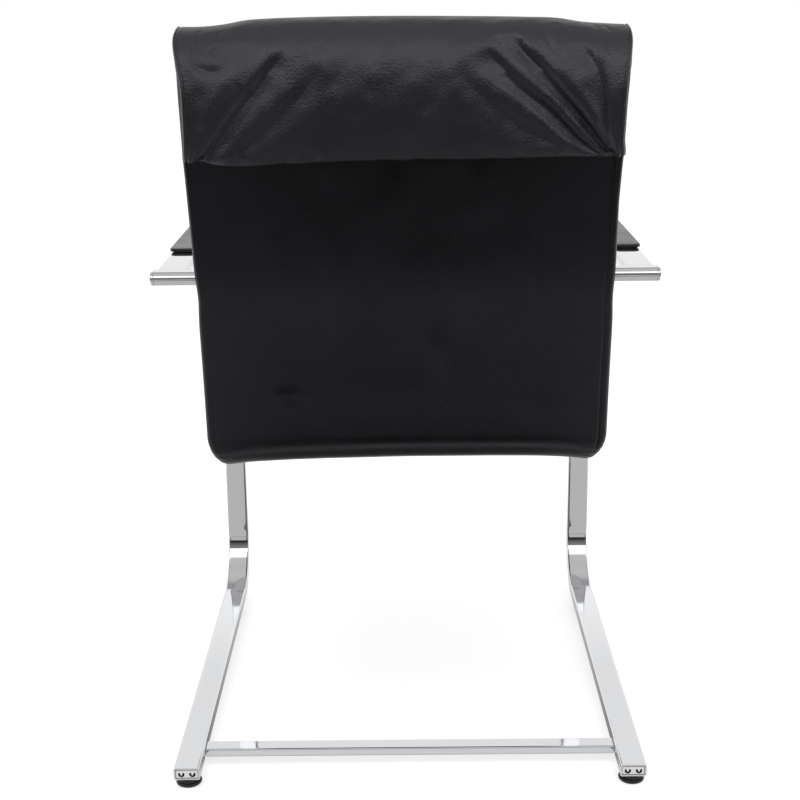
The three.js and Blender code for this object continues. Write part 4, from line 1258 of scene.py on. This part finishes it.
def flap_lines(x):
    """The outer and inner line of the flap at places x across, as heights up the back and
    distances out of it. Outside, three squarish quarter arches follow one another: from the hem
    out to the widest place, over the crest, and down to the front seam. Inside, the line lies
    on the cover, crosses the top of the shell and goes down its front."""
    hem = curve_through(x, hem_knots)[None, :]
    top = back_height + curve_through(x, rise_knots)[None, :]
    low, rear, front = even_turn(36), even_turn(126)[1:], even_turn(30)[1:]
    outer_up = np.concatenate([
        widest_up - (widest_up - hem) * np.cos(low) ** low_power,
        widest_up + (top - widest_up) * np.sin(rear) ** rear_power,
        flap_seam + (top - flap_seam) * np.cos(front) ** front_power,
    ])
    outer_out = np.concatenate([
        hem_out + (flap_bulge - hem_out) * np.sin(low) ** low_power,
        crest_out + (flap_bulge - crest_out) * np.cos(rear) ** rear_power,
        crest_out - (crest_out - flap_front) * np.sin(front) ** front_power,
    ]) + 0 * hem
    top_inside = back_height + seat_gap
    past_crest = np.concatenate([0 * low, 0 * rear, np.sin(front)])
    lifted = np.clip((outer_up - top_inside) / (top - top_inside), 0, 1)
    share = np.where(past_crest > 0, 0.5 + 0.5 * past_crest, 0.5 * lifted)
    across, down = 2 * seat_gap - board_face, top_inside - flap_seam
    travel = share * (across + down)
    inner_out = seat_gap - np.minimum(travel, across)
    inner_up = np.where(past_crest > 0, top_inside, np.minimum(outer_up, top_inside))
    return outer_up, outer_out, inner_up - np.maximum(travel - across, 0), inner_out


# The seams of the outer leather: on which edge, how high the leather stands (or lies, below
# nought), how far from the edge and how wide.
seams = [
    ("side", 0.9 * MM, 1.5 * MM, 0.9 * MM), ("side", -0.7 * MM, 3.8 * MM, 1.0 * MM),
    ("hem", 0.25 * MM, 5 * MM, 0.9 * MM),
]


def flap_outer(x):
    """Places on the outer leather: the smooth form with its waves, drawn in by the creases,
    rolled off toward the sides, and raised in a bead along the side seams and the hem."""
    up, out, inner_up, inner_out = flap_lines(x)
    steps = np.hypot(np.diff(up, axis=0), np.diff(out, axis=0))
    s = np.concatenate([0 * up[:1], np.cumsum(steps, axis=0)])
    d_up, d_out = np.gradient(up, axis=0), np.gradient(out, axis=0)
    size = np.hypot(d_up, d_out)
    normal_up, normal_out = -d_out / size, d_up / size
    half = half_at(up, x[None, :])
    x = x[None, :] / flap_half * half
    from_edge = half - np.abs(x)
    roll_off = 3.5 * MM
    edge = np.clip(1 - from_edge / roll_off, 0, 1)
    fade_front = 1 - smooth_step(s, 150 * MM, 185 * MM)
    fade_edge = smooth_step(from_edge, 1 * MM, 9 * MM)
    waves = soft_waves(x, s, 3, longest=44 * MM, steepness=0.0034)
    sink = (crease_draw(x, s) + waves) * fade_front * fade_edge
    sink = sink + 0.8 * roll_off * (1 - np.sqrt(1 - 0.98 * edge ** 2))
    for place, height, middle, width in seams:
        sink = sink - height * bump_at(from_edge if place == "side" else s, middle, width)
    limit = np.hypot(up - inner_up, out - inner_out) - 0.55 * hem_out
    sink = np.where(sink > 0, limit * np.tanh(sink / limit), sink)
    return x, up - normal_up * sink, out - normal_out * sink, inner_up, inner_out, s


def side_bulge(k):
    """The side gusset's swell: a groove beside the welt, then a shallow bow."""
    groove, bow = 1.2 * MM, 2.0 * MM
    return bow * np.sin(math.pi * np.clip(k, 0, 1)) ** 0.7 - groove * bump_at(k, 0.06, 0.05)


plain_share, crease_share = 60 * MM / flap_half, 218 * MM / flap_half
one_side = np.concatenate([
    np.linspace(plain_share, crease_share, 151)[:-1], np.linspace(crease_share, 1, 17),
])
u = np.concatenate([-one_side[::-1], np.linspace(-plain_share, plain_share, 38)[1:-1], one_side])
outer_x, outer_up, outer_out, inner_up, inner_out, along_leather = flap_outer(flap_half * u)
k = np.linspace(0, 1, 22)[None, 1:-1]


def side_wall(column, sign):
    """The gusset at one side, from the outer to the inner line, as x, up and out."""
    rise, reach = (inner_up - outer_up)[:, column, None], (inner_out - outer_out)[:, column, None]
    up = outer_up[:, column, None] + rise * k
    out = outer_out[:, column, None] + reach * k
    thick = np.hypot(rise, reach)[:, 0]
    swell = side_bulge(k) * smooth_step(thick, 0, 12 * MM)[:, None]
    return sign * (half_at(up, np.full_like(up, sign)) + swell), up, out


right_x, right_up, right_out = side_wall(0, -1)
left_x, left_up, left_out = side_wall(-1, 1)

# The hidden inner skin is plain, so between its first and last row only every tenth column counts:
# the columns between take its places and are merged with it.
inner_x = outer_x.copy()
held_column = np.minimum(np.round(np.arange(len(u)) / 10).astype(int) * 10, len(u) - 1)
for inner in (inner_x, inner_up, inner_out):
    inner[1:-1] = inner[1:-1][:, held_column]
loop_x = np.concatenate([outer_x, left_x, inner_x[:, ::-1], right_x[:, ::-1]], axis=1)
loop_up = np.concatenate([outer_up, left_up, inner_up[:, ::-1], right_up[:, ::-1]], axis=1)
loop_out = np.concatenate([outer_out, left_out, inner_out[:, ::-1], right_out[:, ::-1]], axis=1)
corner_round, corner_draw = 6 * MM, 4 * MM
near_hem = np.clip(1 - along_leather[:, :1] / corner_round, 0, 1)
near_side = np.clip(np.abs(loop_x) / flap_half, 0, 1) ** 8
loop_x = loop_x - np.sign(loop_x) * corner_draw * (1 - np.sqrt(1 - near_hem ** 2)) * near_side


def close_end(row_x, row_up, row_out, sag, steps=6):
    """Extra rows past an end row: outer and inner line move together to their middle while the
    row goes on by sag, so that the edge is a half round."""
    count = len(u)
    gusset = k.size
    index = np.arange(2 * count + 2 * gusset)
    mirrored_index = 2 * count + gusset - 1 - index
    is_outer = index < count
    is_inner = (index >= count + gusset) & (index < 2 * count + gusset)
    partner = np.where(is_outer | is_inner, mirrored_index, index)
    left = (index >= count) & (index < count + gusset)
    right = index >= 2 * count + gusset
    middle_up, middle_out = (row_up + row_up[partner]) / 2, (row_out + row_out[partner]) / 2
    edge_x = row_x
    for part, column in ((left, count - 1), (right, 0)):
        middle_up = np.where(part, middle_up[column], middle_up)
        middle_out = np.where(part, middle_out[column], middle_out)
        edge_x = np.where(part, row_x[column], edge_x)
    turn = np.linspace(0, math.pi / 2, steps + 1)[1:, None]
    up = middle_up + (row_up - middle_up) * np.cos(turn) - sag * np.sin(turn)
    out = middle_out + (row_out - middle_out) * np.cos(turn)
    x = edge_x + (row_x - edge_x) * np.cos(turn)
    return x, up, out


hem_sag = 0.8 * MM
hem_x, hem_up, hem_depth = close_end(loop_x[0], loop_up[0], loop_out[0], hem_sag)
end_x, end_up, end_depth = close_end(loop_x[-1], loop_up[-1], loop_out[-1], 0.0)
loop_x = np.concatenate([hem_x[::-1], loop_x, end_x])
loop_up = np.concatenate([hem_up[::-1], loop_up, end_up])
loop_out = np.concatenate([hem_depth[::-1], loop_out, end_depth])
flap_points = on_back(loop_x, loop_up, loop_out)
flap_leather = leather(
    "pebbled_black_leather", ("#08080A", "#0C0C0E"), 0.45, 0.30 * MM, 0.15 * MM, gloss=0.85
)
flap = add_object(
    "head_flap_leather", flap_points, grid_faces(*loop_x.shape, loop_columns=True), flap_leather,
    smooth_angle=70,
)
close_poles(flap)
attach(flap, "root")
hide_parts("head_flap")

# Arm pads. A stiff black plastic core is screwed to each arm from below, and soft leather is drawn
# over it and under its edge, so that a thin pad lies on the chrome with a fine dark notch below.
def pad_rings(low, high, corner, insets, heights, bow):
    """Plan outlines stacked in height and drawn in by their insets, closed over at both ends. The
    ends bow out a little toward the middle."""
    rings = []
    for inset, height in zip(insets, heights):
        outline = rounded_outline(high.x - low.x, high.y - low.y - 2 * bow, corner, inset, 10)
        span = outline[:, 1] / (high.y - low.y) * 2
        outline[:, 1] += bow * span * (1 - (outline[:, 0] / (high.x - low.x) * 2) ** 2)
        centre = [(low.x + high.x) / 2, (low.y + high.y) / 2]
        rings.append(np.column_stack([outline + centre, np.full(len(outline), height)]))
    return with_poles(np.array(rings))


pad_corner = 8 * MM
lower_round, upper_round, crown = 1.3 * MM, 1.9 * MM, 0.4 * MM
pad_leather = leather("waxed_black_leather", ("#0C0C0D", "#101012"), 0.30, 0.10 * MM, 0.10 * MM)
turn = np.linspace(0, math.pi / 2, 7)
for side in sides:
    dress(f"arm_pad_core_{side}", black_nylon)
    core_low, core_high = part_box(f"arm_pad_core_{side}")
    low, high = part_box(f"arm_pad_{side}")
    recess = core_low.x - low.x - seat_gap
    shoulder = high.z - crown
    insets = np.concatenate([
        [recess + 3 * MM, recess, recess], lower_round * (1 - np.sin(turn)),
        upper_round * (1 - np.cos(turn)), [5 * MM, 9 * MM, 14 * MM],
    ])
    heights = np.concatenate([
        [core_high.z + seat_gap, core_high.z + seat_gap, low.z],
        low.z + lower_round * (1 - np.cos(turn)), shoulder - upper_round * (1 - np.sin(turn)),
        shoulder + crown * np.array([0.55, 0.85, 1.0]),
    ])
    rings = pad_rings(low, high, pad_corner, insets, heights, bow=0.8 * MM)
    pad = add_object(
        f"arm_pad_leather_{side}", rings, grid_faces(*rings.shape[:2], loop_columns=True),
        pad_leather, smooth_angle=60,
    )
    close_poles(pad)
    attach(pad, "root")
    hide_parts(f"arm_pad_{side}")
    for end in ("rear", "front"):
        dress(f"arm_screw_{end}_{side}", zinc)
